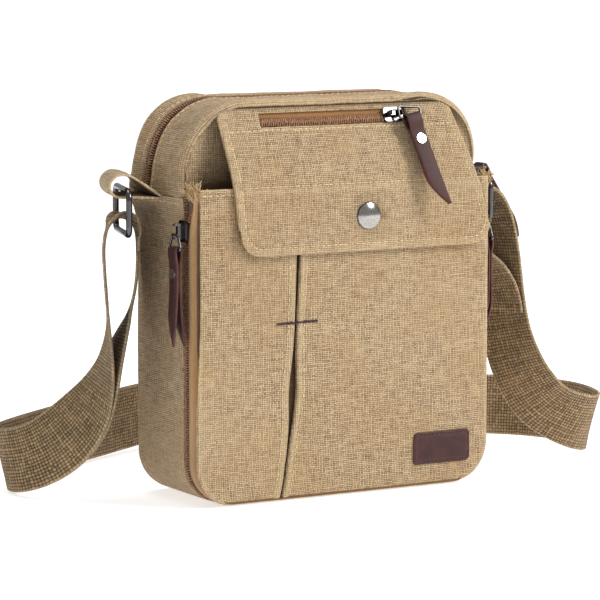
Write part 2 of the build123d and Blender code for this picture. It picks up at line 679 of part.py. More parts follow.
RIGHT_ROUTE = [
    ((0, 186.5, 24), UPRIGHT),
    ((5, 186.5, 24), UPRIGHT),
    ((8.6, 181.8, 24), UPRIGHT),
    ((12.2, 176.8, 24), UPRIGHT),
    ((26, 178.8, 23.4), UPRIGHT),
    ((58, 176.5, 21.4), UPRIGHT),
    ((100, 165, 20.6), (0, 0, 1)),
    ((143, 146, 20.5), (0, 0, 1)),
    ((180, 122, 20.5), (0.05, 0, 1)),
    ((206, 101, 20.5), (0.15, 0, 1)),
    ((223, 76, 20.5), (0.25, -0.05, 1)),
    ((228, 45, 20.5), (0.16, -0.06, 1)),
    ((219, 14, 20.5), (0.1, -0.2, 0.98)),
    ((201, 3, 22.5), (0.2, -0.42, 0.9)),
    ((177, 6, 32), (0.15, -0.6, 0.79)),
    ((161, 8, 50), (0.13, -0.62, 0.77)),
    ((150.5, 11, 74), (0.2, -0.75, 0.6)),
    ((146, 15, 100), (0.3, -0.93, 0.2)),
    ((142.5, 15, 126), ACROSS_RIGHT),
    ((138.5, 15, 150), ACROSS_RIGHT),
    ((133, 15, 167), ACROSS_RIGHT),
    ((123, 15, 178.5), ACROSS_RIGHT),
    ((113, 15, 171.5), ACROSS_RIGHT),
    ((110, 15, 157), ACROSS_RIGHT),
    ((115, 15, 140), ACROSS_RIGHT),
    ((132, 15, 127), ACROSS_RIGHT),
    ((142, 15, 109), (0.32, -0.94, 0.1)),
    ((143.7, 15, 97), (0.3, -0.93, 0.2)),
]


def smooth(values, steps=5):
    """Points along the clamped quadratic B-spline whose control points are values."""
    points = [Vector(*value) for value in values]
    line = []
    for i in range(1, len(points) - 1):
        start = points[0] if i == 1 else (points[i - 1] + points[i]) * 0.5
        end = points[-1] if i == len(points) - 2 else (points[i] + points[i + 1]) * 0.5
        for step in range(steps):
            t = step / steps
            line.append(start * (1 - t) ** 2 + points[i] * (2 * t * (1 - t)) + end * t**2)
    line.append(points[-1])
    return line


def beside(route, distance):
    """The same route, for a layer of webbing that lies beside it, square to its face."""
    moved = []
    for i, (centre, across) in enumerate(route):
        tangent = Vector(*route[min(i + 1, len(route) - 1)][0]) - Vector(*route[max(i - 1, 0)][0])
        face = tangent.cross(Vector(*across)).normalized()
        moved.append((tuple(Vector(*centre) + face * distance), across))
    return moved


def strap_planes(route, steps=5):
    """Section planes along a strap: local x across the webbing, local z along it."""
    centres = smooth([centre for centre, _ in route], steps)
    across = smooth([direction for _, direction in route], steps)
    planes = []
    for i, centre in enumerate(centres):
        ahead = centres[min(i + 1, len(centres) - 1)]
        behind = centres[max(i - 1, 0)]
        tangent = (ahead - behind).normalized()
        wide = (across[i] - tangent * across[i].dot(tangent)).normalized()
        planes.append(Plane(origin=centre, x_dir=wide, z_dir=tangent))
    return planes


def strap(planes):
    """A flat webbing strap with a rectangular section at each plane."""
    length = sum((b.origin - a.origin).length for a, b in zip(planes, planes[1:]))
    with BuildPart() as ribbon:
        for plane in planes:
            with BuildSketch(plane):
                Rectangle(WEBBING_WIDTH, WEBBING)
        loft(ruled=True)
    ratio = ribbon.part.volume / (length * WEBBING_WIDTH * WEBBING)
    print(f"strap {length:.0f} mm long, volume ratio {ratio:.3f}")
    return ribbon


strap_right_run = strap(strap_planes(RIGHT_ROUTE))
strap_right_run.part.label = "strap_right_run"
export_step(strap_right_run.part, "parts/strap_right_run.step")

strap_left_outer = strap(strap_planes(THREAD_LEFT + beside(LEFT_ROUTE, LAYER_OFFSET) + LEFT_ARCH))
strap_left_outer.part.label = "strap_left_outer"
export_step(strap_left_outer.part, "parts/strap_left_outer.step")

strap_left_return = strap(strap_planes(ADJUSTER_WRAP + beside(LEFT_ROUTE, -LAYER_OFFSET) + LEFT_INNER_LEG))
strap_left_return.part.label = "strap_left_return"
export_step(strap_left_return.part, "parts/strap_left_return.step")

ADJUSTER_HEIGHT = 47
with BuildPart() as strap_adjuster:
    with BuildSketch(Plane(origin=(0, 181.5, 24), x_dir=(1, 0, 0), z_dir=(0, -1, 0))) as frame:
        RectangleRounded(28, ADJUSTER_HEIGHT, 3)
        with Locations((-7, 0), (7, 0)):
            Rectangle(10, 41, mode=Mode.SUBTRACT)
    extrude(amount=1.5, both=True)
strap_adjuster.part.label = "strap_adjuster"
export_step(strap_adjuster.part, "parts/strap_adjuster.step")
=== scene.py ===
"""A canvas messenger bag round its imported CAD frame.

Shapes are worked out in millimetres; meshes are in metres.
"""

import json
import math
import random

import bmesh
import bpy
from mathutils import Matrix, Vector, noise


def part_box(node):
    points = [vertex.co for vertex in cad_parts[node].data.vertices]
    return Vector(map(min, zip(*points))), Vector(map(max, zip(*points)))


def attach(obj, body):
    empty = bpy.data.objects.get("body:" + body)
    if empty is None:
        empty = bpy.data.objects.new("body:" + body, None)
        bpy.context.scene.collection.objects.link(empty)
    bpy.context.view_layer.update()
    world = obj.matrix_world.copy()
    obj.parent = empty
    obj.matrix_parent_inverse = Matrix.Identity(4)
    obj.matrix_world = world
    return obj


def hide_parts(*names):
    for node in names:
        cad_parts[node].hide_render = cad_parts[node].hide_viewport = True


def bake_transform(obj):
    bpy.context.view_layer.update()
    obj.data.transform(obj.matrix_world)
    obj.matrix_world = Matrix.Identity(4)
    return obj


MM = 0.001
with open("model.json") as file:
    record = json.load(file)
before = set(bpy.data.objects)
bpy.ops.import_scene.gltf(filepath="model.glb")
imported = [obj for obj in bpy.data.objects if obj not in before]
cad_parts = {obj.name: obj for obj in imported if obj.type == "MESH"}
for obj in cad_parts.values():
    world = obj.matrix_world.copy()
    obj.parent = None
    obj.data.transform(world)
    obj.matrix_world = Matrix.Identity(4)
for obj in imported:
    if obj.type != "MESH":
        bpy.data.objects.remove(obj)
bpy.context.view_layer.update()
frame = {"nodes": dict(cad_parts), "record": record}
joints = {joint["name"]: joint for joint in frame["record"]["behaviour"]["joints"]}

# ---------------------------------------------------------------- camera
CAMERA_TARGET = Vector((-0.01055, 0, 0.1157))
CAMERA_AZIMUTH = math.radians(-29.94)
CAMERA_ELEVATION = math.radians(7.17)
CAMERA_DISTANCE = 2.05
CAMERA_LENS = 201.35


def make_camera():
    """The camera, on a sphere round its target."""
    back = Vector(
        (
            math.sin(CAMERA_AZIMUTH) * math.cos(CAMERA_ELEVATION),
            -math.cos(CAMERA_AZIMUTH) * math.cos(CAMERA_ELEVATION),
            math.sin(CAMERA_ELEVATION),
        )
    )
    data = bpy.data.cameras.new("camera")
    data.lens = CAMERA_LENS
    data.sensor_width = 36
    data.clip_end = 50
    camera = bpy.data.objects.new("camera", data)
    camera.location = CAMERA_TARGET + back * CAMERA_DISTANCE
    camera.rotation_mode = "QUATERNION"
    camera.rotation_quaternion = (-back).to_track_quat("-Z", "Y")
    bpy.context.collection.objects.link(camera)
    bpy.context.scene.camera = camera


make_camera()


# ---------------------------------------------------------------- material tools
def srgb(red, green, blue):
    """A linear colour from 8-bit sRGB values."""
    linear = []
    for value in (red, green, blue):
        c = value / 255
        linear.append(c / 12.92 if c <= 0.04045 else ((c + 0.055) / 1.055) ** 2.4)
    return (*linear, 1)


class Graph:
    """A material's node tree, with short calls for the nodes used here."""

    def __init__(self, name, roughness=0.8, metallic=0.0):
        self.material = bpy.data.materials.new(name)
        self.material.use_nodes = True
        self.nodes = self.material.node_tree.nodes
        self.links = self.material.node_tree.links
        self.shader = self.nodes["Principled BSDF"]
        self.shader.inputs["Roughness"].default_value = roughness
        self.shader.inputs["Metallic"].default_value = metallic

    def set(self, node, socket, value):
        if isinstance(value, bpy.types.NodeSocket):
            self.links.new(value, node.inputs[socket])
        elif value is not None:
            node.inputs[socket].default_value = value

    def math(self, operation, a, b=None, c=None):
        node = self.nodes.new("ShaderNodeMath")
        node.operation = operation
        for socket, value in enumerate((a, b, c)):
            self.set(node, socket, value)
        return node.outputs[0]

    def mix(self, factor, a, b, blend="MIX"):
        node = self.nodes.new("ShaderNodeMix")
        node.data_type = "RGBA"
        node.blend_type = blend
        self.set(node, 0, factor)
        self.set(node, 6, a)
        self.set(node, 7, b)
        return node.outputs[2]

    def noise(self, vector, scale, detail=2.0, roughness=0.5):
        node = self.nodes.new("ShaderNodeTexNoise")
        self.set(node, "Vector", vector)
        self.set(node, "Scale", scale)
        self.set(node, "Detail", detail)
        self.set(node, "Roughness", roughness)
        return node.outputs["Fac"]

    def combine(self, x, y, z=0.0):
        node = self.nodes.new("ShaderNodeCombineXYZ")
        for socket, value in enumerate((x, y, z)):
            self.set(node, socket, value)
        return node.outputs[0]

    def split(self, vector):
        node = self.nodes.new("ShaderNodeSeparateXYZ")
        self.set(node, 0, vector)
        return node.outputs[0], node.outputs[1]

    def levels(self, value, low, high):
        node = self.nodes.new("ShaderNodeMapRange")
        self.set(node, 0, value)
        self.set(node, 1, low)
        self.set(node, 2, high)
        return node.outputs[0]

    def cloth_uv(self):
        node = self.nodes.new("ShaderNodeUVMap")
        node.uv_map = "cloth"
        return node.outputs[0]

    def place(self):
        return self.nodes.new("ShaderNodeTexCoord").outputs["Object"]

    def attribute(self, name):
        node = self.nodes.new("ShaderNodeAttribute")
        node.attribute_name = name
        return node.outputs["Fac"]

    def finish(self, colour, height=None, distance=0.0002, strength=0.6):
        self.set(self.shader, "Base Color", colour)
        if height is not None:
            bump = self.nodes.new("ShaderNodeBump")
            bump.inputs["Strength"].default_value = strength
            bump.inputs["Distance"].default_value = distance
            self.links.new(height, bump.inputs["Height"])
            self.links.new(bump.outputs[0], self.shader.inputs["Normal"])
        return self.material


def woven(name, light, dark, patch, pale, pitch, speckle=0.4, patches=0.35, distance=0.00025, strength=0.7):
    """Plain-weave cloth: threads over and under, uneven in tone, with washed patches, worn edges and painted
    shade.

    The pitch of the threads and the depth of the relief, distance, are in metres.
    """
    g = Graph(name, roughness=0.93)
    g.shader.inputs["Sheen Weight"].default_value = 0.12
    g.shader.inputs["Specular IOR Level"].default_value = 0.2
    uv = g.cloth_uv()
    x, y = g.split(uv)
    wobble = g.math("MULTIPLY_ADD", g.noise(uv, 160.0, 2.0), 0.7, -0.35)
    across = g.math("ADD", g.math("DIVIDE", x, pitch), wobble)
    along = g.math("SUBTRACT", g.math("DIVIDE", y, pitch), wobble)
    warp = g.math("ABSOLUTE", g.math("SINE", g.math("MULTIPLY", across, math.pi)))
    weft = g.math("ABSOLUTE", g.math("SINE", g.math("MULTIPLY", along, math.pi)))
    column = g.math("FLOOR", across)
    row = g.math("FLOOR", along)
    over = g.math("FLOORED_MODULO", g.math("ADD", column, row), 2.0)
    under = g.math("SUBTRACT", 1.0, over)
    warp_hill = g.math("MULTIPLY", g.math("POWER", warp, 0.8), g.math("POWER", weft, 0.35))
    weft_hill = g.math("MULTIPLY", g.math("POWER", warp, 0.35), g.math("POWER", weft, 0.8))
    hill = g.math("MULTIPLY_ADD", warp_hill, over, g.math("MULTIPLY", weft_hill, under))
    warp_tone = g.noise(g.combine(g.math("MULTIPLY", column, 0.83), g.math("MULTIPLY", along, 0.13)), 1.0)
    weft_tone = g.noise(g.combine(g.math("MULTIPLY", across, 0.13), g.math("MULTIPLY", row, 0.83), 5.0), 1.0)
    tone = g.math("MULTIPLY_ADD", warp_tone, over, g.math("MULTIPLY", weft_tone, under))
    grain = g.noise(uv, 1100.0, 2.0, 0.7)
    factor = g.math("MULTIPLY_ADD", hill, 1.0, -1.25)
    factor = g.math("MULTIPLY_ADD", tone, 1.7, factor)
    factor = g.math("MULTIPLY_ADD", grain, speckle, factor)
    factor = g.math("MAXIMUM", g.math("MINIMUM", factor, 1.0), 0.0)
    colour = g.mix(factor, dark, light)
    cloud = g.levels(g.noise(uv, 21.0, 3.0, 0.55), 0.42, 0.68)
    colour = g.mix(g.math("MULTIPLY", cloud, patches), colour, patch)
    wash = g.levels(g.noise(uv, 9.0, 2.0), 0.45, 0.75)
    colour = g.mix(g.math("MULTIPLY", wash, 0.16), colour, pale)
    worn = g.math("MULTIPLY", g.attribute("wear"), g.math("MULTIPLY_ADD", grain, 1.1, 0.1))
    colour = g.mix(g.math("MINIMUM", worn, 0.85), colour, pale)
    # The shade attribute darkens the cloth towards a near-black brown. This is painted shade at seams, folds,
    # recesses, under the flap and under the gusset's lip. It is a little stronger towards the bottom on the
    # lower gusset and the pocket's side. It also makes a darker band where the flap zip's coil lies.
    painted_shade = g.math("MINIMUM", g.attribute("shade"), 0.9)
    colour = g.mix(painted_shade, colour, g.mix(0.55, dark, (0.02, 0.012, 0.006, 1)))
    height = g.math("MULTIPLY_ADD", grain, 0.35, hill)
    return g.finish(colour, height, distance, strength)


def metal(name, colour, roughness, scratch):
    """Plated metal with fine wear in its roughness."""
    g = Graph(name, roughness=roughness, metallic=1.0)
    rub = g.noise(g.place(), 900.0, 3.0, 0.6)
    smooth = g.math("MULTIPLY_ADD", rub, scratch, roughness - scratch / 2)
    g.set(g.shader, "Roughness", smooth)
    tint = g.mix(g.levels(rub, 0.35, 0.75), colour, tuple(0.7 * c for c in colour[:3]) + (1,))
    return g.finish(tint, rub, 0.00002, 0.3)


def leather(name, base, deep, worn):
    """Smooth dyed leather: pebble grain, uneven dye, edges rubbed lighter."""
    g = Graph(name, roughness=0.42)
    g.shader.inputs["Specular IOR Level"].default_value = 0.3
    place = g.place()
    cells = g.nodes.new("ShaderNodeTexVoronoi")
    cells.inputs["Scale"].default_value = 1500.0
    g.links.new(place, cells.inputs["Vector"])
    dye = g.noise(place, 120.0, 4.0, 0.6)
    colour = g.mix(g.levels(dye, 0.3, 0.7), deep, base)
    edge = g.math("MULTIPLY", g.attribute("wear"), g.math("MULTIPLY_ADD", dye, 1.2, 0.1))
    colour = g.mix(g.math("MINIMUM", edge, 0.9), colour, worn)
    g.set(g.shader, "Roughness", g.math("MULTIPLY_ADD", dye, 0.3, 0.42))
    height = g.math("ADD", cells.outputs["Distance"], g.noise(place, 420.0, 3.0))
    return g.finish(colour, height, 0.0001, 0.45)


def plain_fibre(name, light, dark, roughness=0.8, metallic=0.0):
    """Thread or nylon coil: two tones mottled along the strand."""
    g = Graph(name, roughness=roughness, metallic=metallic)
    tone = g.noise(g.place(), 700.0, 2.0, 0.6)
    return g.finish(g.mix(g.levels(tone, 0.3, 0.7), dark, light), tone, 0.00006, 0.4)


CREAM = (220, 198, 160)
WOVEN = {
    "canvas": ((207, 180, 142), (64, 46, 28), (160, 124, 78), CREAM, 0.00118, 0.85, 0.3, 0.00035, 0.9),
    "facing": ((184, 140, 92), (140, 100, 60), (160, 116, 68), CREAM, 0.0005, 0.3, 0.4, 0.0001, 0.4),
    "lining": ((130, 108, 80), (96, 78, 54), (110, 90, 64), CREAM, 0.0006),
    "webbing": ((182, 152, 112), (66, 50, 31), (126, 101, 68), CREAM, 0.002, 0.5, 0.2, 0.0007, 1.0),
    "zip_tape": ((104, 70, 46), (58, 36, 24), (80, 52, 32), CREAM, 0.0006, 0.3, 0.2, 0.0001, 0.5),
    # The cloth behind the pleat is coloured much darker than the canvas: painted shade for the inside of the
    # pleat.
    "pleat_shade_cloth": ((104, 78, 48), (52, 36, 20), (72, 52, 30), (120, 98, 64), 0.00078),
}
MATERIALS = {name: woven(name, *[srgb(*tone) for tone in row[:4]], *row[4:]) for name, row in WOVEN.items()}
MATERIALS["zip_coil"] = plain_fibre("zip_coil", srgb(196, 152, 118), srgb(112, 72, 50), 0.4, 0.2)
MATERIALS["gunmetal"] = metal("gunmetal", srgb(98, 96, 98), 0.2, 0.14)
MATERIALS["nickel"] = metal("nickel", srgb(168, 164, 160), 0.17, 0.08)
MATERIALS["chrome"] = metal("chrome", srgb(216, 214, 212), 0.25, 0.1)
MATERIALS["leather"] = leather("leather", srgb(72, 42, 40), srgb(50, 27, 27), srgb(112, 72, 64))
MATERIALS["thread"] = plain_fibre("thread", srgb(104, 70, 76), srgb(54, 32, 38))
MATERIALS["stitch"] = plain_fibre("stitch", srgb(236, 218, 178), srgb(190, 160, 114))
MATERIALS["fringe"] = plain_fibre("fringe", srgb(214, 188, 140), srgb(150, 116, 76))


# ---------------------------------------------------------------- mesh tools
MIDDLE = Vector((0, 5, 115))
FORWARD = Vector((0, -1, 0))


def finish_piece(name, mesh, material, body, replaced=()):
    """Turns a bmesh in millimetres into a smooth piece in metres that rides on a body."""
    bmesh.ops.remove_doubles(mesh, verts=mesh.verts, dist=0.002)
    bmesh.ops.recalc_face_normals(mesh, faces=mesh.faces)
    bmesh.ops.scale(mesh, vec=(MM, MM, MM), verts=mesh.verts)
    data = bpy.data.meshes.new(name)
    mesh.to_mesh(data)
    mesh.free()
    data.shade_smooth()
    piece = bpy.data.objects.new(name, data)
    bpy.context.collection.objects.link(piece)
    data.materials.append(MATERIALS[material])
    if body:
        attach(piece, body)
    if replaced:
        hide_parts(*replaced)
    return piece


def cloth(
    name, grid, thickness, material, body, replaced=(),
    uv=None, wear=None, shade=None, hole=None, centre=MIDDLE,
):
    """A closed cloth shell: grid is its outer face, row by row, and faces away from the centre."""
    rows, columns = len(grid), len(grid[0])
    mesh = bmesh.new()
    uv_layer = mesh.loops.layers.uv.new("cloth")
    wear_layer = mesh.verts.layers.float.new("wear")
    shade_layer = mesh.verts.layers.float.new("shade")
    normals = []
    facing = 0
    for i in range(rows):
        line = []
        for j in range(columns):
            du = grid[i][min(j + 1, columns - 1)] - grid[i][max(j - 1, 0)]
            dv = grid[min(i + 1, rows - 1)][j] - grid[max(i - 1, 0)][j]
            normal = du.cross(dv)
            if normal.length < 1e-9:
                normal = Vector((0, 0, 0))
            else:
                normal.normalize()
            facing += normal.dot(grid[i][j] - centre)
            line.append(normal)
        normals.append(line)
    sign = 1 if facing > 0 else -1
    places = {}
    layers = []
    for depth in (0, thickness):
        layer = []
        for i in range(rows):
            line = []
            for j in range(columns):
                vertex = mesh.verts.new(grid[i][j] - normals[i][j] * sign * depth)
                vertex[wear_layer] = wear[i][j] if wear else 0.0
                vertex[shade_layer] = shade[i][j] if shade else 0.0
                places[vertex] = uv[i][j] if uv else (grid[i][j].x, grid[i][j].z)
                line.append(vertex)
            layer.append(line)
        layers.append(layer)
    outer, inner = layers
    twin = {a: b for front, back in zip(outer, inner) for a, b in zip(front, back)}
    shown = [(i, j) for i in range(rows - 1) for j in range(columns - 1) if not (hole and hole(i, j))]
    for i, j in shown:
        mesh.faces.new((outer[i][j], outer[i][j + 1], outer[i + 1][j + 1], outer[i + 1][j]))
    rims = [edge for edge in mesh.edges if len(edge.link_faces) == 1]
    for i, j in shown:
        mesh.faces.new((inner[i + 1][j], inner[i + 1][j + 1], inner[i][j + 1], inner[i][j]))
    for edge in rims:
        a, b = edge.verts
        mesh.faces.new((a, b, twin[b], twin[a]))
    for face in mesh.faces:
        for loop in face.loops:
            u, v = places[loop.vert]
            loop[uv_layer].uv = (u * MM, v * MM)
    loose = [vertex for vertex in mesh.verts if not vertex.link_faces]
    bmesh.ops.delete(mesh, geom=loose, context="VERTS")
    return finish_piece(name, mesh, material, body, replaced)


def skin(mesh, rings, closed=False):
    """Joins rings of vertices into one surface: capped at both ends, or closed on itself."""
    pairs = list(zip(rings, rings[1:]))
    if closed:
        pairs.append((rings[-1], rings[0]))
    count = len(rings[0])
    for low, high in pairs:
        for k in range(count):
            mesh.faces.new((low[k], low[(k + 1) % count], high[(k + 1) % count], high[k]))
    if not closed:
        mesh.faces.new(list(reversed(rings[0])))
        mesh.faces.new(rings[-1])


def tube(mesh, points, radii, sides=6, up=None):
    """A closed tube through points, added to a bmesh; radii is one number or one per point."""
    if not isinstance(radii, (list, tuple)):
        radii = [radii] * len(points)
    rings = []
    side = None
    for i, point in enumerate(points):
        ahead = (points[min(i + 1, len(points) - 1)] - points[max(i - 1, 0)]).normalized()
        guide = up or (Vector((0, 0, 1)) if abs(ahead.z) < 0.9 else Vector((1, 0, 0)))
        side = ahead.cross(guide if side is None else side.cross(ahead)).normalized()
        top = side.cross(ahead)
        ring = []
        for k in range(sides):
            angle = 2 * math.pi * k / sides
            ring.append(mesh.verts.new(point + (side * math.cos(angle) + top * math.sin(angle)) * radii[i]))
        rings.append(ring)
    skin(mesh, rings)


def resample(points, step, ups=None):
    """Evenly spaced (point, direction, up) frames along a polyline."""
    lengths = [0.0]
    for a, b in zip(points, points[1:]):
        lengths.append(lengths[-1] + (b - a).length)
    count = max(2, round(lengths[-1] / step))
    frames = []
    k = 0
    for n in range(count + 1):
        s = lengths[-1] * n / count
        while k < len(points) - 2 and lengths[k + 1] < s:
            k += 1
        t = (s - lengths[k]) / max(lengths[k + 1] - lengths[k], 1e-9)
        point = points[k].lerp(points[k + 1], t)
        direction = (points[k + 1] - points[k]).normalized()
        up = ups[k].lerp(ups[k + 1], t).normalized() if ups else Vector((0, -1, 0))
        frames.append((point, direction, up))
    return frames


STITCH_LENGTH = 3.0
STITCH_GAP = 0.9
STITCH_RADIUS = 0.31


def stitch_row(name, lines, body, material="stitch", length=STITCH_LENGTH, radius=STITCH_RADIUS):
    """Rows of lock stitches along lines of (points, ups): each dips into the cloth at its ends."""
    mesh = bmesh.new()
    dice = random.Random(name)
    for points, ups in lines:
        for point, direction, up in resample(points, length + STITCH_GAP, ups)[:-1]:
            start = point + direction * (STITCH_GAP / 2)
            reach = length * dice.uniform(0.9, 1.05)
            skew = direction.cross(up) * dice.uniform(-0.12, 0.12)
            path = [
                start - up * 0.35,
                start + direction * (reach * 0.18) + up * 0.16,
                start + direction * (reach * 0.5) + up * 0.26 + skew,
                start + direction * (reach * 0.82) + up * 0.16,
                start + direction * reach - up * 0.35,
            ]
            tube(mesh, path, [radius * 0.7, radius, radius * 1.05, radius, radius * 0.7], 5, up)
    return finish_piece(name, mesh, material, body)


COIL_PITCH = 1.55
COIL_HALF = 2.7


def coil(name, frames, body, replaced=(), halves=(1, -1)):
    """A zip's coil: a row of bent nylon loops from each side, meshed along the middle."""
    mesh = bmesh.new()
    for point, direction, up in frames:
        across = direction.cross(up).normalized()
        for half in halves:
            shift = direction * (0.0 if half > 0 else COIL_PITCH / 2)
            path = [
                point + shift + across * half * COIL_HALF - up * 0.5,
                point + shift + across * half * COIL_HALF * 0.93 + up * 0.45,
                point + shift + across * half * COIL_HALF * 0.5 + up * 0.85,
                point + shift + across * half * 0.2 + up * 0.8,
                point + shift - across * half * 0.75 + up * 0.2,
            ]
            tube(mesh, path, [0.32, 0.36, 0.38, 0.38, 0.34], 6, direction)
    return finish_piece(name, mesh, "zip_coil", body, replaced)


def spread(low, high, step):
    """Evenly spaced values from low to high, ends included."""
    count = max(1, round(abs(high - low) / step))
    return [low + (high - low) * i / count for i in range(count + 1)]


EDGE_STEPS = (0, 0.3, 0.8, 1.5, 2.4, 3.5, 5, 7.5)


def edged(low, high, step):
    """Values from low to high that lie close together near both ends."""
    near = [low + d for d in EDGE_STEPS]
    far = [high - d for d in reversed(EDGE_STEPS)]
    return near + spread(near[-1], far[0], step)[1:-1] + far


def smoothstep(t):
    """A smooth rise from 0 to 1, flat outside that stretch."""
    t = max(0.0, min(1.0, t))
    return t * t * (3 - 2 * t)


def bell(distance, width):
    """A smooth hill: 1 at no distance, falling away over the width."""
    return math.exp(-((distance / width) ** 2))


def each(grid, rule):
    """What a rule says for each point of a grid."""
    return [[rule(point) for point in line] for line in grid]


def ripple(x, y, z, size):
    """Smooth seeded waviness, about -1 to 1, with hills of that size in millimetres."""
    return noise.noise(Vector((x, y, z)) / size)


def roll(distance, radius):
    """How far a rounded edge has dropped, at a distance in from it."""
    if distance >= radius:
        return 0.0
    return radius - math.sqrt(max(0.0, radius**2 - (radius - distance) ** 2))


# ---------------------------------------------------------------- the bag's outlines
def mm_box(node):
    """A CAD node's low and high corners, in millimetres."""
    low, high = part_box(node)
    return [c / MM for c in low], [c / MM for c in high]


PANEL_LOW, PANEL_HIGH = mm_box("front_panel")
BAG_HALF = PANEL_HIGH[0]
BAG_TOP = PANEL_HIGH[2]
BODY_FRONT = PANEL_LOW[1]
BODY_BACK = mm_box("back_panel")[1][1]
TOP_RADIUS = 44
BOTTOM_RADIUS = 26
GUSSET_SPLIT = mm_box("lower_gusset")[1][2]
MAIN_ZIP_Y = 18
TAPE_HALF = 6
TAPE_SHOWN = TAPE_HALF - 2.2
POCKET_HALF = mm_box("pocket_facing")[1][0]
POCKET_TOP = mm_box("pocket_facing")[1][2]
POCKET_FRONT = mm_box("pocket_panel_left")[0][1]
POCKET_ZIP_Y = -24
POCKET_ZIP_END_X = 68
CLOTH = 1.3
SIDES = ((-1, "left"), (1, "right"))


def fillet_path(corners, step):
    """Stations (x, z, outward x, outward z, length so far) along right-angled corners with round fillets."""
    stations = []
    position = Vector(corners[0][:2])
    run = 0.0
    for (x0, z0, _), (x, z, radius) in zip(corners, corners[1:]):
        corner = Vector((x, z))
        ahead = (corner - Vector((x0, z0))).normalized()
        outward = Vector((ahead.y, -ahead.x))
        end = corner - ahead * radius
        for t in spread(0, (end - position).length, step):
            spot = position + ahead * t
            stations.append((spot.x, spot.y, outward.x, outward.y, run + t))
        run += (end - position).length
        if radius:
            centre = end - outward * radius
            for angle in spread(0, math.pi / 2, min(step, radius / 7) / radius)[1:-1]:
                normal = outward * math.cos(angle) + ahead * math.sin(angle)
                spot = centre + normal * radius
                stations.append((spot.x, spot.y, normal.x, normal.y, run + angle * radius))
            run += radius * math.pi / 2
            position = centre + ahead * radius
    return stations


def along(path, ys, place):
    """Points over the stations of a path, each at its own y, and the ways out from them."""
    points = []
    for station, y in zip(path, ys):
        x, z, nx, nz, _ = station
        out = place(station, y)
        points.append(Vector((x + nx * out, y, z + nz * out)))
    return points, [Vector((nx, 0, nz)) for _, _, nx, nz, _ in path]


def band(path, ys, place):
    """A cloth grid along a path, and its flat places: place(station, y) says how far out it stands."""
    grid = [along([station] * len(ys), ys, place)[0] for station in path]
    return grid, [[(station[4], y) for y in ys] for station in path]


def inside(x, z, half, top, top_radius, bottom_radius):
    """How far a point of a panel is in from its round-cornered outline."""
    x = abs(x)
    if z < bottom_radius and x > half - bottom_radius:
        return bottom_radius - math.hypot(x - (half - bottom_radius), bottom_radius - z)
    if top_radius and z > top - top_radius and x > half - top_radius:
        return top_radius - math.hypot(x - (half - top_radius), z - (top - top_radius))
    return min(half - x, z, top - z)


def outline_rows(half, top, top_radius, bottom_radius, step):
    """Rows (height, half width) of a round-cornered panel."""
    rows = []
    for angle in spread(-math.pi / 2, 0, math.pi / 2 / 16):
        rows.append((bottom_radius * (1 + math.sin(angle)), half - bottom_radius * (1 - math.cos(angle))))
    if top_radius:
        rows += [(z, half) for z in spread(bottom_radius, top - top_radius, step)[1:-1]]
        for angle in spread(0, math.pi / 2, math.pi / 2 / 20):
            rows.append((top - top_radius * (1 - math.sin(angle)), half - top_radius * (1 - math.cos(angle))))
    else:
        rows += [(z, half) for z in spread(bottom_radius, top - 8, step)[1:]]
        rows += [(top - d, half) for d in (6, 4.5, 3.2, 2.2, 1.4, 0.7, 0.2, 0)]
    return rows


def bulge(y, z, nx, nz):
    """How far the cloth stands out: the left side towards the back, the top right corner at the front."""
    depth = smoothstep((y - BODY_FRONT) / (BODY_BACK - BODY_FRONT))
    if nx >= 0 and nz > 0:
        return 8 * nx * nz * (1 - depth)
    if nx >= 0 or z < 3:
        return 0.0
    side = 0.6 + 5.5 * bell(z - 187, 15)
    corner = 10 * depth * abs(nx * nz) if nz > 0 else 0.0
    return depth * (side * nx * nx + corner) * smoothstep(z / 14)


def side_wave(x, y, z):
    """Small seeded waves of the bag's sides, none under its foot."""
    if z < 3:
        return 0.0
    return 0.5 * ripple(x, y, z, 26) + 0.22 * ripple(x + 90, y, z, 11)


# ---------------------------------------------------------------- main compartment
def lower_gusset_place(station, y):
    """How far the lower gusset stands out, with its hem, its lip and its rounded seams."""
    x, z, nx, nz, _ = station
    front = y - BODY_FRONT
    back = BODY_BACK - y
    out = bulge(y, z, nx, nz) + side_wave(x, y, z) - roll(front, 2.6) * 0.8 - roll(back, 3.5) * 0.8
    hem = bell(z - GUSSET_SPLIT + 3.2, 0.9)
    lip = smoothstep((z - GUSSET_SPLIT + 9) / 8)
    out += 0.9 * lip - 0.35 * hem - roll(GUSSET_SPLIT - z, 0.9) * 0.6
    if nz < -0.5 and z < 1:
        out = min(out, 0.0)
    return out


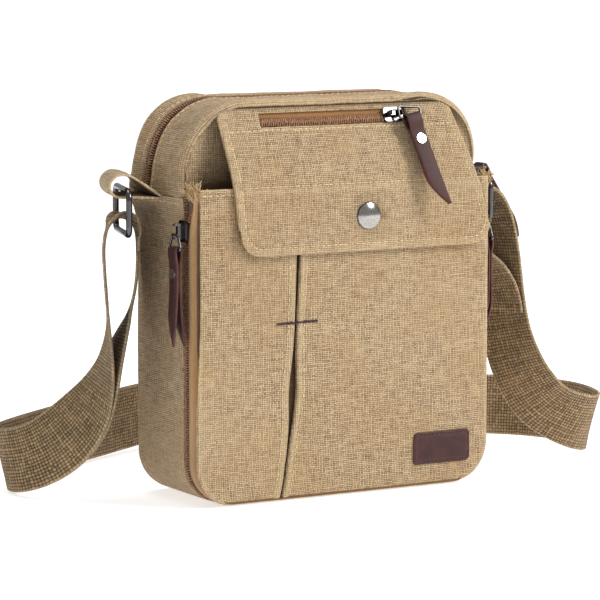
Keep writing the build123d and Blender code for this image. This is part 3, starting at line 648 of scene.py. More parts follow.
def make_lower_gusset():
    """The bag's lower side and foot, with the hem stitches at its two upper ends."""
    path = fillet_path(
        [
            (-BAG_HALF, GUSSET_SPLIT, 0),
            (-BAG_HALF, 0, BOTTOM_RADIUS),
            (BAG_HALF, 0, BOTTOM_RADIUS),
            (BAG_HALF, GUSSET_SPLIT, 0),
        ],
        2.4,
    )
    first, last = path[0], path[-1]
    drops = (0.3, 0.7, 1.2, 1.8)
    start = [(first[0], first[1] - d, first[2], first[3], first[4] + d) for d in drops]
    end = [(last[0], last[1] - d, last[2], last[3], last[4] - d) for d in reversed(drops)]
    path = path[:1] + start + path[1:-1] + end + path[-1:]
    grid, uv = band(path, edged(BODY_FRONT + 0.3, BODY_BACK - 0.4, 2.4), lower_gusset_place)
    wear = each(
        grid,
        lambda p: 0.55 * math.exp(-(max(GUSSET_SPLIT - p.z, 0) / 1.3))
        + 0.22 * math.exp(-((BODY_BACK - p.y) / 2.5))
        + 0.3 * bell(p.y - BODY_FRONT, 1.6),
    )
    shade = each(
        grid,
        lambda p: 0.35 * bell(GUSSET_SPLIT - 10 - p.z, 6) * smoothstep((p.y - 2) / 12) * (p.z < GUSSET_SPLIT)
        + 0.12 * smoothstep((60 - p.z) / 60),
    )
    cloth("lower_gusset_cloth", grid, CLOTH, "canvas", "bag", ["lower_gusset"], uv, wear, shade)
    for side, name in SIDES:
        ys = spread(BODY_FRONT + 3, BODY_BACK - 3, 2)
        hem = (side * BAG_HALF, GUSSET_SPLIT - 3.4, side, 0, 0)
        stitch_row(f"gusset_hem_stitches_{name}", [along([hem] * len(ys), ys, lower_gusset_place)], "bag")


def upper_place(front):
    """How far the upper gusset stands out: full near the panel's seam, folded down beside the zip."""

    def place(station, y):
        x, z, nx, nz, _ = station
        sunk = -1.2 * smoothstep((GUSSET_SPLIT + 3 - z) / 5)
        seam = y - BODY_FRONT if front else BODY_BACK - y
        zip_side = MAIN_ZIP_Y - TAPE_SHOWN - y if front else y - MAIN_ZIP_Y - TAPE_SHOWN
        out = -roll(seam, 7.0) * (0.82 if front else 0.6) - roll(zip_side, 1.1) * 0.7
        puff = bell(seam - 6, 6) * 1.1
        trough = -0.3 * bell(zip_side - 3, 0.8)
        wave = 0.45 * ripple(x, y, z, 22) + 0.2 * ripple(x, y + 50, z, 9)
        return out + puff + trough + wave + sunk + bulge(y, z, nx, nz)

    return place


UPPER_CORNERS = [
    (BAG_HALF, GUSSET_SPLIT - 5, 0),
    (BAG_HALF, BAG_TOP, TOP_RADIUS),
    (-BAG_HALF, BAG_TOP, TOP_RADIUS),
    (-BAG_HALF, GUSSET_SPLIT - 5, 0),
]


def make_upper_gusset(front):
    """The cloth in front of or behind the main zip, and its row of stitches."""
    zip_edge = MAIN_ZIP_Y - TAPE_SHOWN if front else MAIN_ZIP_Y + TAPE_SHOWN
    seam = BODY_FRONT + 0.3 if front else BODY_BACK - 0.4
    ys = edged(seam, zip_edge, 2.2) if front else spread(zip_edge, seam, 0.8)
    path = fillet_path(UPPER_CORNERS, 2.4)
    place = upper_place(front)
    grid, uv = band(path, ys, place)
    wear = each(
        grid, lambda p: 0.6 * math.exp(-abs(p.y - zip_edge)) + 0.28 * bell(abs(p.y - seam) - 2.6, 2.4)
    )
    name = "front" if front else "rear"
    cloth(f"upper_gusset_{name}_cloth", grid, CLOTH, "canvas", "bag", [f"upper_gusset_{name}"], uv, wear)
    y = zip_edge - 2.6 if front else zip_edge + 2.6
    seen = [station for station in path if station[1] >= GUSSET_SPLIT]
    stitch_row(f"main_zip_stitches_{name}", [along(seen, [y] * len(seen), place)], "bag")


def main_zip_place(depth):
    """How far out a layer of the main zip lies, at a depth under the gusset's line."""
    return lambda station, y: bulge(y, *station[1:4]) - depth


def make_main_zip():
    """The main zip's tape and coil, over the bag's top and down its sides."""
    path = fillet_path(UPPER_CORNERS, 2.0)
    ys = spread(MAIN_ZIP_Y - TAPE_HALF, MAIN_ZIP_Y + TAPE_HALF, 1.0)
    grid, uv = band(path, ys, main_zip_place(1.0))
    cloth("main_zip_tape", grid, 0.5, "zip_tape", "bag", ["main_zip_tapes"], uv)
    seen = [station for station in path if station[1] > GUSSET_SPLIT - 0.5]
    points, ups = along(seen, [MAIN_ZIP_Y] * len(seen), main_zip_place(0.3))
    coil("main_zip_coil", resample(points, COIL_PITCH, ups), "bag", ["main_zip_chain"])


def body_panel_y(x, z, back):
    """The outer face of the bag's front or back panel: rounded at its edge, a little wavy."""
    edge = inside(x, z, BAG_HALF, BAG_TOP, TOP_RADIUS, BOTTOM_RADIUS)
    drop = roll(edge, 4.5 if back else 2.2) * (0.9 if back else 0.8)
    wave = 0.5 * ripple(x, 300 if back else 200, z, 34) + 0.2 * ripple(x, 40, z, 12)
    fade = smoothstep(edge / 12)
    if back:
        crown = 1.2 * smoothstep(edge / 45)
        return BODY_BACK - drop + (crown + wave) * fade
    return BODY_FRONT + 0.6 + drop - wave * fade * 0.6


def panel_columns():
    """Columns across a body panel, -1 to 1, close together near its sides."""
    near = [1 - d / BAG_HALF for d in EDGE_STEPS]
    middle = spread(-near[-1], near[-1], 3.0 / BAG_HALF)[1:-1]
    return [-u for u in near] + middle + list(reversed(near))


FRONT_TUCK = 4.0


def make_body_panel(back):
    """The bag's front or back panel; the front one sits in from a roll at its seam."""
    tuck = 0.0 if back else FRONT_TUCK
    outline = (BAG_HALF - tuck / 2, BAG_TOP - tuck, TOP_RADIUS - tuck / 2, BOTTOM_RADIUS)
    rows = outline_rows(*outline, 3.0)
    columns = panel_columns()
    grid = []
    for z, half in rows:
        if z > BAG_TOP - TOP_RADIUS:
            nz = (z - BAG_TOP + TOP_RADIUS) / TOP_RADIUS
        else:
            nz = min(0.0, (z - BOTTOM_RADIUS) / BOTTOM_RADIUS)
        nx = -math.sqrt(max(0.0, 1 - nz * nz))
        seam = BODY_BACK if back else BODY_FRONT
        outs = bulge(seam, z, nx, nz), bulge(seam, z, -nx, nz)
        line = []
        for u in columns:
            share = (outs[0] if u < 0 else outs[1]) * abs(u) ** 3
            x = u * half + (nx if u < 0 else -nx) * share
            line.append(Vector((x, body_panel_y(u * half, z, back), z + nz * share)))
        grid.append(line)
    shade = None
    if not back:
        shade = each(
            grid,
            lambda p: 0.5 * math.exp(-max(p.z - POCKET_TOP, 0) / 5)
            + 0.25 * smoothstep((96 - abs(p.x)) / 12)
            + 0.6 * math.exp(-max(0.0, inside(p.x, p.z, *outline)) / 0.9),
        )
    wear = each(
        grid, lambda p: 0.35 * bell(inside(p.x, p.z, BAG_HALF, BAG_TOP, TOP_RADIUS, BOTTOM_RADIUS) - 3, 2)
    )
    name = "back" if back else "front"
    cloth(f"{name}_panel_cloth", grid, CLOTH, "canvas", "bag", [f"{name}_panel"], None, wear, shade)


LINING_TOP = 180


def lining_wave(amount, row, size):
    """A place rule for a slightly wavy inner layer."""
    return lambda station, y: amount * ripple(station[4], y, row, size)


def make_lining():
    """The lining bag and the two seam bindings inside it."""
    half, low = BAG_HALF - 2.8, 2.2
    radius = BOTTOM_RADIUS - 2
    corners = [(-half, LINING_TOP, 0), (-half, low, radius), (half, low, radius), (half, LINING_TOP, 0)]
    path = fillet_path(corners, 5)
    front, back = BODY_FRONT + 3.4, BODY_BACK - 3.2
    grid, uv = band(path, spread(front, back, 5), lining_wave(0.2, 5, 20))
    cloth("lining_side", grid, 0.5, "lining", "bag", ["lining"], uv)
    rows = outline_rows(BAG_HALF - 3.4, LINING_TOP - 2, 0, BOTTOM_RADIUS - 3, 6)
    for name, y in (("front", front), ("back", back)):
        face = []
        for z, wide in rows:
            xs = [wide * u for u in spread(-1, 1, 0.1)]
            face.append([Vector((x, y + 0.3 * ripple(x, y, z, 20), z + 2.4)) for x in xs])
        cloth(f"lining_{name}", face, 0.4, "lining", "bag")
    half, low, high = BAG_HALF - 4, 3.4, BAG_TOP - 4
    top_corners = [(half, high, TOP_RADIUS - 4), (-half, high, TOP_RADIUS - 4)]
    low_corners = [(half, low, BOTTOM_RADIUS - 4), (-half, low, BOTTOM_RADIUS - 4)]
    ring = fillet_path([(0, low, 0), low_corners[0], *top_corners, low_corners[1], (-1, low, 0)], 4)
    for name, y in (("front", front + 1), ("back", back - 7)):
        strip, marks = band(ring, spread(y, y + 6, 2), lining_wave(0.15, 9, 9))
        cloth(f"{name}_binding", strip, 0.8, "lining", "bag", [f"{name}_seam_binding"], marks)


# ---------------------------------------------------------------- front pocket
HEM_DROP = 3.6
FOLD_LINE = [(-32, 190), (-36, 104), (-39, 49), (-45, 0)]


def fold_x(z):
    """Where the pleat's two folds meet, at a height."""
    for (x0, z0), (x1, z1) in zip(FOLD_LINE, FOLD_LINE[1:]):
        if z >= z1:
            return x0 + (x1 - x0) * (z0 - z) / (z0 - z1)
    return FOLD_LINE[-1][0]


def pleat_gap(z):
    """Half of the gap between the folds: shut at the bar tack, open lower down."""
    return 0.35 + 1.9 * bell(z - 66, 20) + 0.5 * bell(z - 150, 30)


def pocket_y(x, z):
    """The pocket front's outer face: crowned, turned in at its edges."""
    edge = inside(x, z, POCKET_HALF, POCKET_TOP + 60, 0, BOTTOM_RADIUS)
    crown = 1.7 * smoothstep(edge / 40)
    wave = 0.45 * ripple(x, 500, z, 30) + 0.22 * ripple(x, 540, z, 10)
    pull = 0.5 * ripple(x * 0.3, 560, z * 1.6, 16) * smoothstep((70 - z) / 40)
    foot = roll(z, 9) * 0.42
    return POCKET_FRONT + 1.3 - crown + roll(edge, 1.7) * 0.9 + foot - (wave + pull) * smoothstep(edge / 9)


def panel_inset(side, z):
    """How far the cloth of the pocket's front draws in from the bag's left edge, higher up."""
    return 2.5 * smoothstep((z - 55) / 60) if side < 0 else 0.0


FOLD_STEPS = (0, 0.25, 0.6, 1.1, 1.8, 2.8, 4.2, 5.8, 7.6, 10, 13)


def pocket_half_grid(side):
    """One side of the pocket's front, from its fold out to the bag's edge, with its wear and shade."""
    rows = outline_rows(POCKET_HALF, POCKET_TOP, 0, BOTTOM_RADIUS, 2.8)
    grid, wear, shade = [], [], []
    for z, half in rows:
        fold = fold_x(z) + side * pleat_gap(z)
        line, marks, dims = [], [], []
        width = abs(side * half - fold) - panel_inset(side, z)
        far = [width - d for d in reversed(EDGE_STEPS)]
        for d in [*FOLD_STEPS, *spread(FOLD_STEPS[-1], far[0], 3.0 * width / 120)[1:-1], *far]:
            x = fold + side * d
            y = pocket_y(x, z) + roll(d, 1.5) * 0.9
            ridge = -0.5 * bell(d - 2.2, 1.8) + 0.3 * bell(d - 5.2, 0.7)
            lip = inside(x, z, POCKET_HALF, POCKET_TOP + 60, 0, BOTTOM_RADIUS)
            top = POCKET_TOP - z
            y += ridge + roll(top, 1.3) * 0.8 + 0.25 * bell(top - HEM_DROP, 0.8)
            line.append(Vector((x, y, z)))
            marks.append(
                0.5 * bell(d - 2.5, 2.2)
                + 0.4 * bell(lip - 1.5, 1.4)
                + 0.5 * math.exp(-top / 2)
            )
            dims.append(0.45 * math.exp(-d / 1.0))
        grid.append(line)
        wear.append(marks)
        shade.append(dims)
    return grid, wear, shade


def even_row(values, columns):
    """A row of points or numbers, resampled to that many."""
    row = []
    for j in range(columns):
        t = j * (len(values) - 1) / (columns - 1)
        k = min(int(t), len(values) - 2)
        row.append(values[k] * (1 - t + k) + values[k + 1] * (t - k))
    return row


def make_pocket_panels():
    """The pocket's front: two cloths that meet at the pleat."""
    for side, name in SIDES:
        tables = pocket_half_grid(side)
        most = max(len(line) for line in tables[0])
        grid, wear, shade = [[even_row(line, most) for line in table] for table in tables]
        panel = f"pocket_panel_{name}"
        cloth(f"pocket_front_{name}", grid, CLOTH, "canvas", "bag", [panel], None, wear, shade)


def on_pocket(spots, lift=0.0):
    """A line of stitches on the pocket's front, through spots (x, z)."""
    points = [Vector((x, pocket_y(x, z) - lift, z)) for x, z in spots]
    return points, [FORWARD] * len(points)


def make_pleat():
    """The cloth behind the pleat, the stitches beside it and the pocket's hem stitches."""
    rows = spread(6, 188, 4)
    columns = spread(-8, 8, 2)
    grid = [[Vector((fold_x(z) + d, POCKET_FRONT + 2.4, z)) for d in columns] for z in rows]
    # Painted shade: the cloth behind the pleat is darker than the canvas, so the pleat's gap reads as shaded.
    cloth("pleat_inside", grid, 0.5, "pleat_shade_cloth", "bag", ["pleat_underlay"])
    lines = []
    for side in (-1, 1):
        spots = [(fold_x(z) + side * (pleat_gap(z) + 5.0), z) for z in spread(4, 186, 3)]
        lines.append(on_pocket(spots))
    stitch_row("pleat_stitches", lines, "bag")
    parts = (spread(-99, -39, 2), spread(-25, 99, 2))
    hem = [on_pocket([(x, POCKET_TOP - HEM_DROP) for x in part]) for part in parts]
    stitch_row("pocket_hem_stitches", hem, "bag")


TACK_LEFT, TACK_RIGHT, TACK_Z = -49.0, -21, 108


def make_bar_tack():
    """The bar tack over the pleat: a zigzag thread over a straight one."""
    mesh = bmesh.new()
    dice = random.Random(11)
    points = []
    x = TACK_LEFT
    flip = 1
    while x < TACK_RIGHT:
        z = TACK_Z + flip * dice.uniform(0.5, 1.1) + 0.02 * (x + 35)
        points.append(Vector((x, pocket_y(x, z) - 0.55 - dice.uniform(0, 0.25), z)))
        x += dice.uniform(0.35, 0.75)
        flip = -flip
    tube(mesh, points, 0.3, 5, FORWARD)
    xs = spread(TACK_LEFT, TACK_RIGHT, 1)
    base = [Vector((x, pocket_y(x, TACK_Z) - 0.3, TACK_Z + 0.02 * (x + 35))) for x in xs]
    tube(mesh, base, 0.45, 5, FORWARD)
    finish_piece("bar_tack_thread", mesh, "thread", "bag", ["bar_tack"])


LABEL_LOW, LABEL_HIGH = mm_box("label_patch")
LABEL_CORNER = 3.0


def make_label():
    """A blank leather label with a pressed border, and its stitches."""
    cx, cz = (LABEL_LOW[0] + LABEL_HIGH[0]) / 2, (LABEL_LOW[2] + LABEL_HIGH[2]) / 2
    half, tall = (LABEL_HIGH[0] - LABEL_LOW[0]) / 2, (LABEL_HIGH[2] - LABEL_LOW[2]) / 2
    grid, wear = [], []
    for v in edged(-tall, tall, 1.2):
        line, marks = [], []
        for u in edged(-half, half, 1.2):
            du, dv = abs(u) - half + LABEL_CORNER, abs(v) - tall + LABEL_CORNER
            trim = 1 - max(du, dv) / math.hypot(du, dv) if du > 0 and dv > 0 else 0.0
            x = cx + u - math.copysign(du * trim, u)
            z = cz + v - math.copysign(dv * trim, v) + 0.25 * ripple(u, 3, v, 9)
            edge = min(half - abs(u), tall - abs(v))
            frame_line = bell(edge - 3.1, 0.35)
            channel = bell(edge - 1.6, 0.5)
            y = pocket_y(x, z) - 1.25 + roll(edge, 0.7) + 0.35 * channel + 0.22 * frame_line
            line.append(Vector((x, y + 0.1 * ripple(x, 80, z, 5), z)))
            marks.append(0.7 * math.exp(-edge / 0.5) + 0.25 * bell(edge - 2.4, 0.5))
        grid.append(line)
        wear.append(marks)
    cloth("label", grid, 1.1, "leather", "bag", ["label_patch"], None, wear)
    wide, high = half - 1.6, tall - 1.6
    corners = [(-1, -1), (1, -1), (1, 1), (-1, 1), (-1, -1)]
    lines = []
    for (ax, az), (bx, bz) in zip(corners, corners[1:]):
        ts = spread(0, 1, 0.05)
        spots = [(cx + (ax + (bx - ax) * t) * wide, cz + (az + (bz - az) * t) * high) for t in ts]
        lines.append(on_pocket(spots, 1.0))
    stitch_row("label_stitches", lines, "bag", "thread", 2.0, 0.26)


SPLIT_LOW = 160
TAPE_FRONT = -36.5
POCKET_CORNERS = [
    (-POCKET_HALF, POCKET_TOP - 0.5, 0),
    (-POCKET_HALF, 0.8, BOTTOM_RADIUS),
    (POCKET_HALF, 0.8, BOTTOM_RADIUS),
    (POCKET_HALF, POCKET_TOP - 0.5, 0),
]


def opened(z):
    """How far the front tape has left the rear one, above the slider: 0 to 1."""
    return smoothstep((z - SPLIT_LOW) / 30) ** 0.8


def make_pocket_side():
    """The pocket's side facing, drawn away from the zip above the sliders, and the zip's tape."""
    path = fillet_path(POCKET_CORNERS, 2.0)
    grid, uv, wear, shade = [], [], [], []
    for x, z, nx, nz, s in path:
        line, marks, rubs, dims = [], [], [], []
        rear = POCKET_ZIP_Y - COIL_HALF + 0.4 - 8.8 * opened(z)
        front = POCKET_FRONT + 2.0
        for t in spread(0, 1, 0.1):
            y = rear + (front - rear) * t
            swell = 0.9 * math.sin(math.pi * min(t * 1.1, 1)) - 1.1 * t**3
            pucker = 0.4 * ripple(s, y, 0, 7) + 0.3 * ripple(s, y, 30, 18)
            tuck = panel_inset(-1 if nx < 0 else 1, z) * t**2
            out = -0.2 - tuck + (swell + pucker * math.sin(math.pi * t)) * (1 if z > 2 else 0.2)
            line.append(Vector((x + nx * out, y, z + nz * out)))
            marks.append((s, y))
            rubs.append(0.3 * bell(t - 0.45, 0.2))
            dim = 0.5 * math.exp(-(1 - t) / 0.12) + 0.25 * math.exp(-t / 0.1)
            dims.append(dim + 0.25 * smoothstep((70 - z) / 60))
        grid.append(line)
        uv.append(marks)
        wear.append(rubs)
        shade.append(dims)
    cloth("pocket_facing_cloth", grid, 0.8, "facing", "bag", ["pocket_facing"], uv, wear, shade)
    tape, tape_uv = band(path, spread(TAPE_FRONT, BODY_FRONT - 0.3, 1.2), lambda station, y: -1.6)
    cloth("pocket_zip_tape", tape, 0.5, "zip_tape", "bag", ["pocket_zip_tapes"], tape_uv)


def make_pocket_coils():
    """The coils of the pocket's two side zips: closed below the slider, parted above it."""
    for side, name, slider_z in ((-1, "left", 158), (1, "right", 153)):
        corners = [
            (-POCKET_HALF, slider_z, 0),
            (-POCKET_HALF, 1.5, BOTTOM_RADIUS - 1),
            (-POCKET_ZIP_END_X, 1.5, 0),
        ]
        path = fillet_path(corners, 2.0)
        points = [Vector((-side * x, POCKET_ZIP_Y, z)) for x, z, _, _, _ in path]
        ups = [Vector((-side * nx, 0, nz)) for _, _, nx, nz, _ in path]
        coil(f"pocket_coil_{name}", resample(points, COIL_PITCH, ups), "bag", [f"pocket_zip_chain_{name}"])
        front, rear = [], []
        for z in spread(slider_z + 12, POCKET_TOP - 1, 1.5):
            wide = opened(z)
            drawn_in = 2.5 * wide**2 - 0.1
            front.append(Vector((side * (POCKET_HALF - drawn_in), POCKET_ZIP_Y - 1.4 - 9.6 * wide, z)))
            rear.append(Vector((side * (POCKET_HALF - 0.8 * wide), POCKET_ZIP_Y + 1.6, z)))
        for label, line, part in (("front", front, side), ("rear", rear, -side)):
            frames = resample(line, COIL_PITCH, [Vector((side, 0, 0))] * len(line))
            coil(f"pocket_coil_{name}_{label}", frames, "bag", (), (part,))


def make_frayed_threads():
    """Loose yarn ends where the tape and the panel's corner were cut, at the pocket's top corners."""
    for side, name in SIDES:
        mesh = bmesh.new()
        dice = random.Random(side * 5 + 21)
        for _ in range(130):
            x = side * (POCKET_HALF - dice.uniform(-0.4, 3.6))
            y = dice.uniform(TAPE_FRONT, -27)
            z = 184 + (y - TAPE_FRONT) * 0.1 + dice.uniform(-2, 2)
            lean = Vector((side * dice.uniform(-0.5, 0.7), dice.uniform(-0.5, 0.9), 1)).normalized()
            curl = Vector((dice.uniform(-1, 1), dice.uniform(-1, 1), dice.uniform(-0.8, 0.2))) * 2.6
            length = dice.uniform(5, 11)
            points = [Vector((x, y, z)) + lean * length * t + curl * t**2 for t in spread(0, 1, 0.2)]
            thick = dice.uniform(0.2, 0.4)
            tube(mesh, points, [thick * share for share in (1, 1, 1, 0.9, 0.8, 0.5)], 5)
        finish_piece(f"frayed_threads_{name}", mesh, "fringe", "bag")


# ---------------------------------------------------------------- flap
FLAP_TOP = 234.8
FLAP_BOTTOM = 149.0
FLAP_CORNER = 15.0
FLAP_OUTER = 2.4
FLAP_INSET = 2
FLAP_SEAM_Y = -22.1
FLAP_BEND_TOP, FLAP_BEND_LOW = 235.5, 190
FLAP_FALL = 17.8
WINDOW_LEFT, WINDOW_RIGHT = -54.0, 48.0
WINDOW_LOW, WINDOW_HIGH = 223.6, 232.0
SNAP_X, SNAP_Z = 12.5, 170.0
HEM_INSET = 4.6
CROSS_SEAM_Z, WINDOW_SEAM_Z = 189.5, 221.8
BEHIND_FLAP = Vector((0, 60, 150))


def flap_y(z):
    """The flap's inner face in side view: a slant off the top seam, then straight down."""
    t = (FLAP_BEND_TOP - z) / (FLAP_BEND_TOP - FLAP_BEND_LOW)
    if t > 1.3:
        reach = 1.0
    elif t > 0.7:
        reach = t - (t - 0.7) ** 2 / 1.2
    else:
        reach = t
    flare = 0.9 * smoothstep((172 - z) / 20)
    return FLAP_SEAM_Y - FLAP_FALL * reach - 0.5 * smoothstep((FLAP_BEND_LOW - z) / 39) - flare


def flap_normal(z):
    """The way out of the flap's face, at a height."""
    return Vector((0, -1, flap_y(z + 0.5) - flap_y(z - 0.5))).normalized()


def flap_point(x, z, depth):
    """A point at a depth out from the flap's inner face."""
    return Vector((x, flap_y(z), z)) + flap_normal(z) * depth


FLAP_LEFT_EDGE = (-82.5, 7.5)
FLAP_RIGHT_EDGE = (78.5, 24.4)
FLAP_EDGE_TOP = 240.5


def flap_sides(z):
    """Where the flap's sides are: straight lines, kept inside the front panel's round corners."""
    t = (FLAP_EDGE_TOP - z) / (FLAP_EDGE_TOP - FLAP_BOTTOM)
    radius = TOP_RADIUS - FLAP_INSET
    climb = min(radius - 1, max(0.0, z - BAG_TOP + TOP_RADIUS))
    half = BAG_HALF - TOP_RADIUS + math.sqrt(radius**2 - climb**2)
    (left, left_run), (right, right_run) = FLAP_LEFT_EDGE, FLAP_RIGHT_EDGE
    return max(-half, left + left_run * t), min(half, right + right_run * t)


def flap_edge_distance(x, z):
    """How far a point of the flap is in from its outline."""
    left, right = flap_sides(z)
    side = min(x - left, right - x)
    low = z - FLAP_BOTTOM
    if side < FLAP_CORNER and low < FLAP_CORNER:
        return FLAP_CORNER - math.hypot(FLAP_CORNER - side, FLAP_CORNER - low)
    return min(side, low)


def flap_depth(x, z):
    """The outer face's depth over the flap's inner line, with its seams, hems and waves."""
    edge = flap_edge_distance(x, z)
    depth = FLAP_OUTER - roll(edge, 1.3) * 0.9
    depth -= 0.35 * bell(edge - HEM_INSET, 0.9)
    depth -= 0.35 * bell(z - CROSS_SEAM_Z, 0.9)
    depth += 0.3 * bell(z - 186.0, 1.8)
    if WINDOW_LEFT - 6 < x < WINDOW_RIGHT + 6:
        for rim in (WINDOW_LOW, WINDOW_HIGH):
            depth += 0.25 * bell(z - rim, 1.8)
    depth -= 0.7 * bell(math.hypot(x - SNAP_X, z - SNAP_Z), 9.5)
    wave = 0.7 * ripple(x, 700, z, 38) + 0.3 * ripple(x, 730, z, 14)
    return depth + wave * smoothstep(edge / 6) * smoothstep((FLAP_TOP - z) / 14)


SIDE_STEPS = (0, 0.25, 0.7, 1.3, 2.2, 3.3, 4.6, 6, 8, 10.5, 13, 16)


def flap_columns():
    """The flap's columns: steps in from each side, and shares of the spans beside and over the window."""
    left = [("left", d) for d in SIDE_STEPS]
    middle_left = [("span_left", t) for t in spread(0, 1, 0.25)[1:]]
    window = [("window", t) for t in spread(0, 1, 1 / 42)[1:]]
    middle_right = [("span_right", t) for t in spread(0, 1, 0.14)[1:-1]]
    right = [("right", d) for d in reversed(SIDE_STEPS)]
    return left + middle_left + window + middle_right + right


def flap_x(column, z):
    """Where a column crosses a height."""
    kind, value = column
    left, right = flap_sides(z)
    reach = SIDE_STEPS[-1]
    if kind == "left":
        return left + value * min(1.0, (WINDOW_LEFT - 1 - left) / reach)
    if kind == "right":
        return right - value
    if kind == "span_left":
        inner = min(left + reach, WINDOW_LEFT - 1)
        return inner + (WINDOW_LEFT - inner) * value
    if kind == "window":
        return WINDOW_LEFT + (WINDOW_RIGHT - WINDOW_LEFT) * value
    return WINDOW_RIGHT + (right - reach - WINDOW_RIGHT) * value


def flap_rows():
    """The flap's row heights down to where its low corners start, closer at the window and the cross seam."""
    upper = [FLAP_TOP, 234.5, 234.1, 233.5, 232.9, WINDOW_HIGH + 0.4, WINDOW_HIGH]
    window = [230, 228, 226, WINDOW_LOW]
    below = [WINDOW_LOW - 0.4, 222.4, 221.2, *spread(219, 196, 2.4), *spread(194.5, 186, 0.7)]
    return upper + window + below + spread(184, 170, 2.2)


LOW_LINE = FLAP_BOTTOM + 6


def flap_grid(depth_of):
    """The flap's points, and their (x, z), with the last rows eased down to the round-cornered hem."""
    columns = flap_columns()
    rows = flap_rows()
    lines = [[(flap_x(c, z), z) for c in columns] for z in rows]
    last = rows[-1]
    left, right = flap_sides(LOW_LINE)
    for t in spread(0, 1, 1 / 16)[1:]:
        eased = math.sin(t * math.pi / 2)
        line = []
        for c in columns:
            x = flap_x(c, LOW_LINE + (last - LOW_LINE) * (1 - t))
            side = max(0.0, min(min(x - left, right - x), FLAP_CORNER))
            low = FLAP_BOTTOM + FLAP_CORNER - math.sqrt(FLAP_CORNER**2 - (FLAP_CORNER - side) ** 2)
            line.append((x, last + (low - last) * eased))
        lines.append(line)
    return [[flap_point(x, z, depth_of(x, z)) for x, z in line] for line in lines], lines


def in_window(lines):
    """Tells whether a face of a flap grid lies in the zip's window."""

    def test(i, j):
        (x0, z0), (x1, z1) = lines[i][j], lines[i + 1][j + 1]
        x, z = (x0 + x1) / 2, (z0 + z1) / 2
        return WINDOW_LEFT < x < WINDOW_RIGHT and WINDOW_LOW < z < WINDOW_HIGH

    return test


def flap_joint(piece):
    """Bakes a flap layer's placement into its mesh."""
    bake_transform(piece)


def flap_wear(spot):
    """Wear along the flap's edge, its cross seam and the window's lower rim."""
    x, z = spot
    edge = flap_edge_distance(x, z)
    mark = 0.6 * math.exp(-edge / 1.1) + 0.25 * bell(edge - 3.2, 1.2)
    mark += 0.3 * bell(z - 187.2, 1.4)
    if WINDOW_LEFT - 2 < x < WINDOW_RIGHT + 2:
        mark += 0.35 * math.exp(-abs(z - WINDOW_LOW) / 1.6)
    return mark


def flap_shade(spot):
    """Shade at the flap's top seam and round its snap."""
    x, z = spot
    return 0.45 * math.exp(-(FLAP_TOP - z) / 1.2) + 0.5 * bell(math.hypot(x - SNAP_X, z - SNAP_Z), 9)


def make_flap():
    """The flap's canvas and lining, both open at the zip's window."""
    grid, lines = flap_grid(flap_depth)
    uv = [[(x, 300 - z + 0.05 * (FLAP_TOP - z)) for x, z in line] for line in lines]
    wear, shade = each(lines, flap_wear), each(lines, flap_shade)
    looks = (uv, wear, shade, in_window(lines), BEHIND_FLAP)
    flap_joint(cloth("flap_canvas", grid, 1.5, "canvas", None, ["flap_outer"], *looks))
    grid, lines = flap_grid(lambda x, z: 0.85 - 0.4 * roll(flap_edge_distance(x, z), 1.2))
    looks = (uv, None, None, in_window(lines), BEHIND_FLAP)
    flap_joint(cloth("flap_back", grid, 0.8, "facing", None, ["flap_lining"], *looks))


def flap_line(spots):
    """A line of stitches on the flap, through spots (x, z)."""
    return [flap_point(x, z, flap_depth(x, z)) for x, z in spots], [flap_normal(z) for _, z in spots]


def flap_border(inset):
    """Points of the flap's outline, moved in by inset, from its top left round to its top right."""
    corner_z = FLAP_BOTTOM + FLAP_CORNER
    left, right = flap_sides(LOW_LINE)
    radius = FLAP_CORNER - inset
    left_side = [(flap_sides(z)[0] + inset, z) for z in spread(228, corner_z, 3)]
    right_side = [(flap_sides(z)[1] - inset, z) for z in spread(corner_z, 228, 3)]
    hem = [(x, FLAP_BOTTOM + inset) for x in spread(left + FLAP_CORNER, right - FLAP_CORNER, 3)[1:-1]]
    turn = [(radius * math.cos(a), corner_z - radius * math.sin(a)) for a in spread(0, math.pi / 2, 0.2)]
    left_turn = [(left + FLAP_CORNER - reach, z) for reach, z in turn]
    right_turn = [(right - FLAP_CORNER + reach, z) for reach, z in reversed(turn)]
    return left_side + left_turn + hem + right_turn + right_side


def make_flap_stitches():
    """The stitches along the flap's hem and its two cross seams."""
    lines = [flap_line(flap_border(HEM_INSET))]
    for height in (CROSS_SEAM_Z, WINDOW_SEAM_Z):
        left, right = flap_sides(height)
        lines.append(flap_line([(x, height) for x in spread(left + 5, right - 5, 3)]))
    stitch_row("flap_stitches", lines, "flap")


def make_flap_zip():
    """The flap zip's cloth and coil, behind the window."""
    low, high = WINDOW_LOW - 0.9, WINDOW_HIGH + 0.9
    xs = spread(WINDOW_LEFT - 1, WINDOW_RIGHT + 1, 2)
    grid = []
    for z in spread(high, low, 0.8):
        depth = 0.95 + 0.35 * bell(z - (low + high) / 2, 2.4)
        grid.append([flap_point(x, z, depth) for x in xs])
    uv = each(grid, lambda p: (p.x, p.z))
    shade = each(
        grid,
        lambda p: 0.5 * math.exp(-abs(p.z - WINDOW_HIGH) / 0.7)
        + 0.85 * math.exp(-(((p.z - WINDOW_LOW - 2.4) / 2.6) ** 4)),
    )
    looks = (uv, None, shade, None, BEHIND_FLAP)
    cloth("flap_zip_cloth", grid, 0.5, "facing", "flap", ["flap_zip_tape"], *looks)
    middle = WINDOW_LOW + 2.9
    points, ups = [], []
    for x in spread(WINDOW_LEFT + 1, WINDOW_RIGHT - 6, 2):
        wave = 0.25 * math.sin(x / 11) + 0.12 * math.sin(x / 4.3)
        points.append(flap_point(x, middle + wave, 1.9))
        ups.append(flap_normal(middle))
    coil("flap_coil", resample(points, COIL_PITCH, ups), "flap", ["flap_zip_chain"])


SNAP_RIM_RADIUS = 7.75
SNAP_RIM_WIRE = 0.5


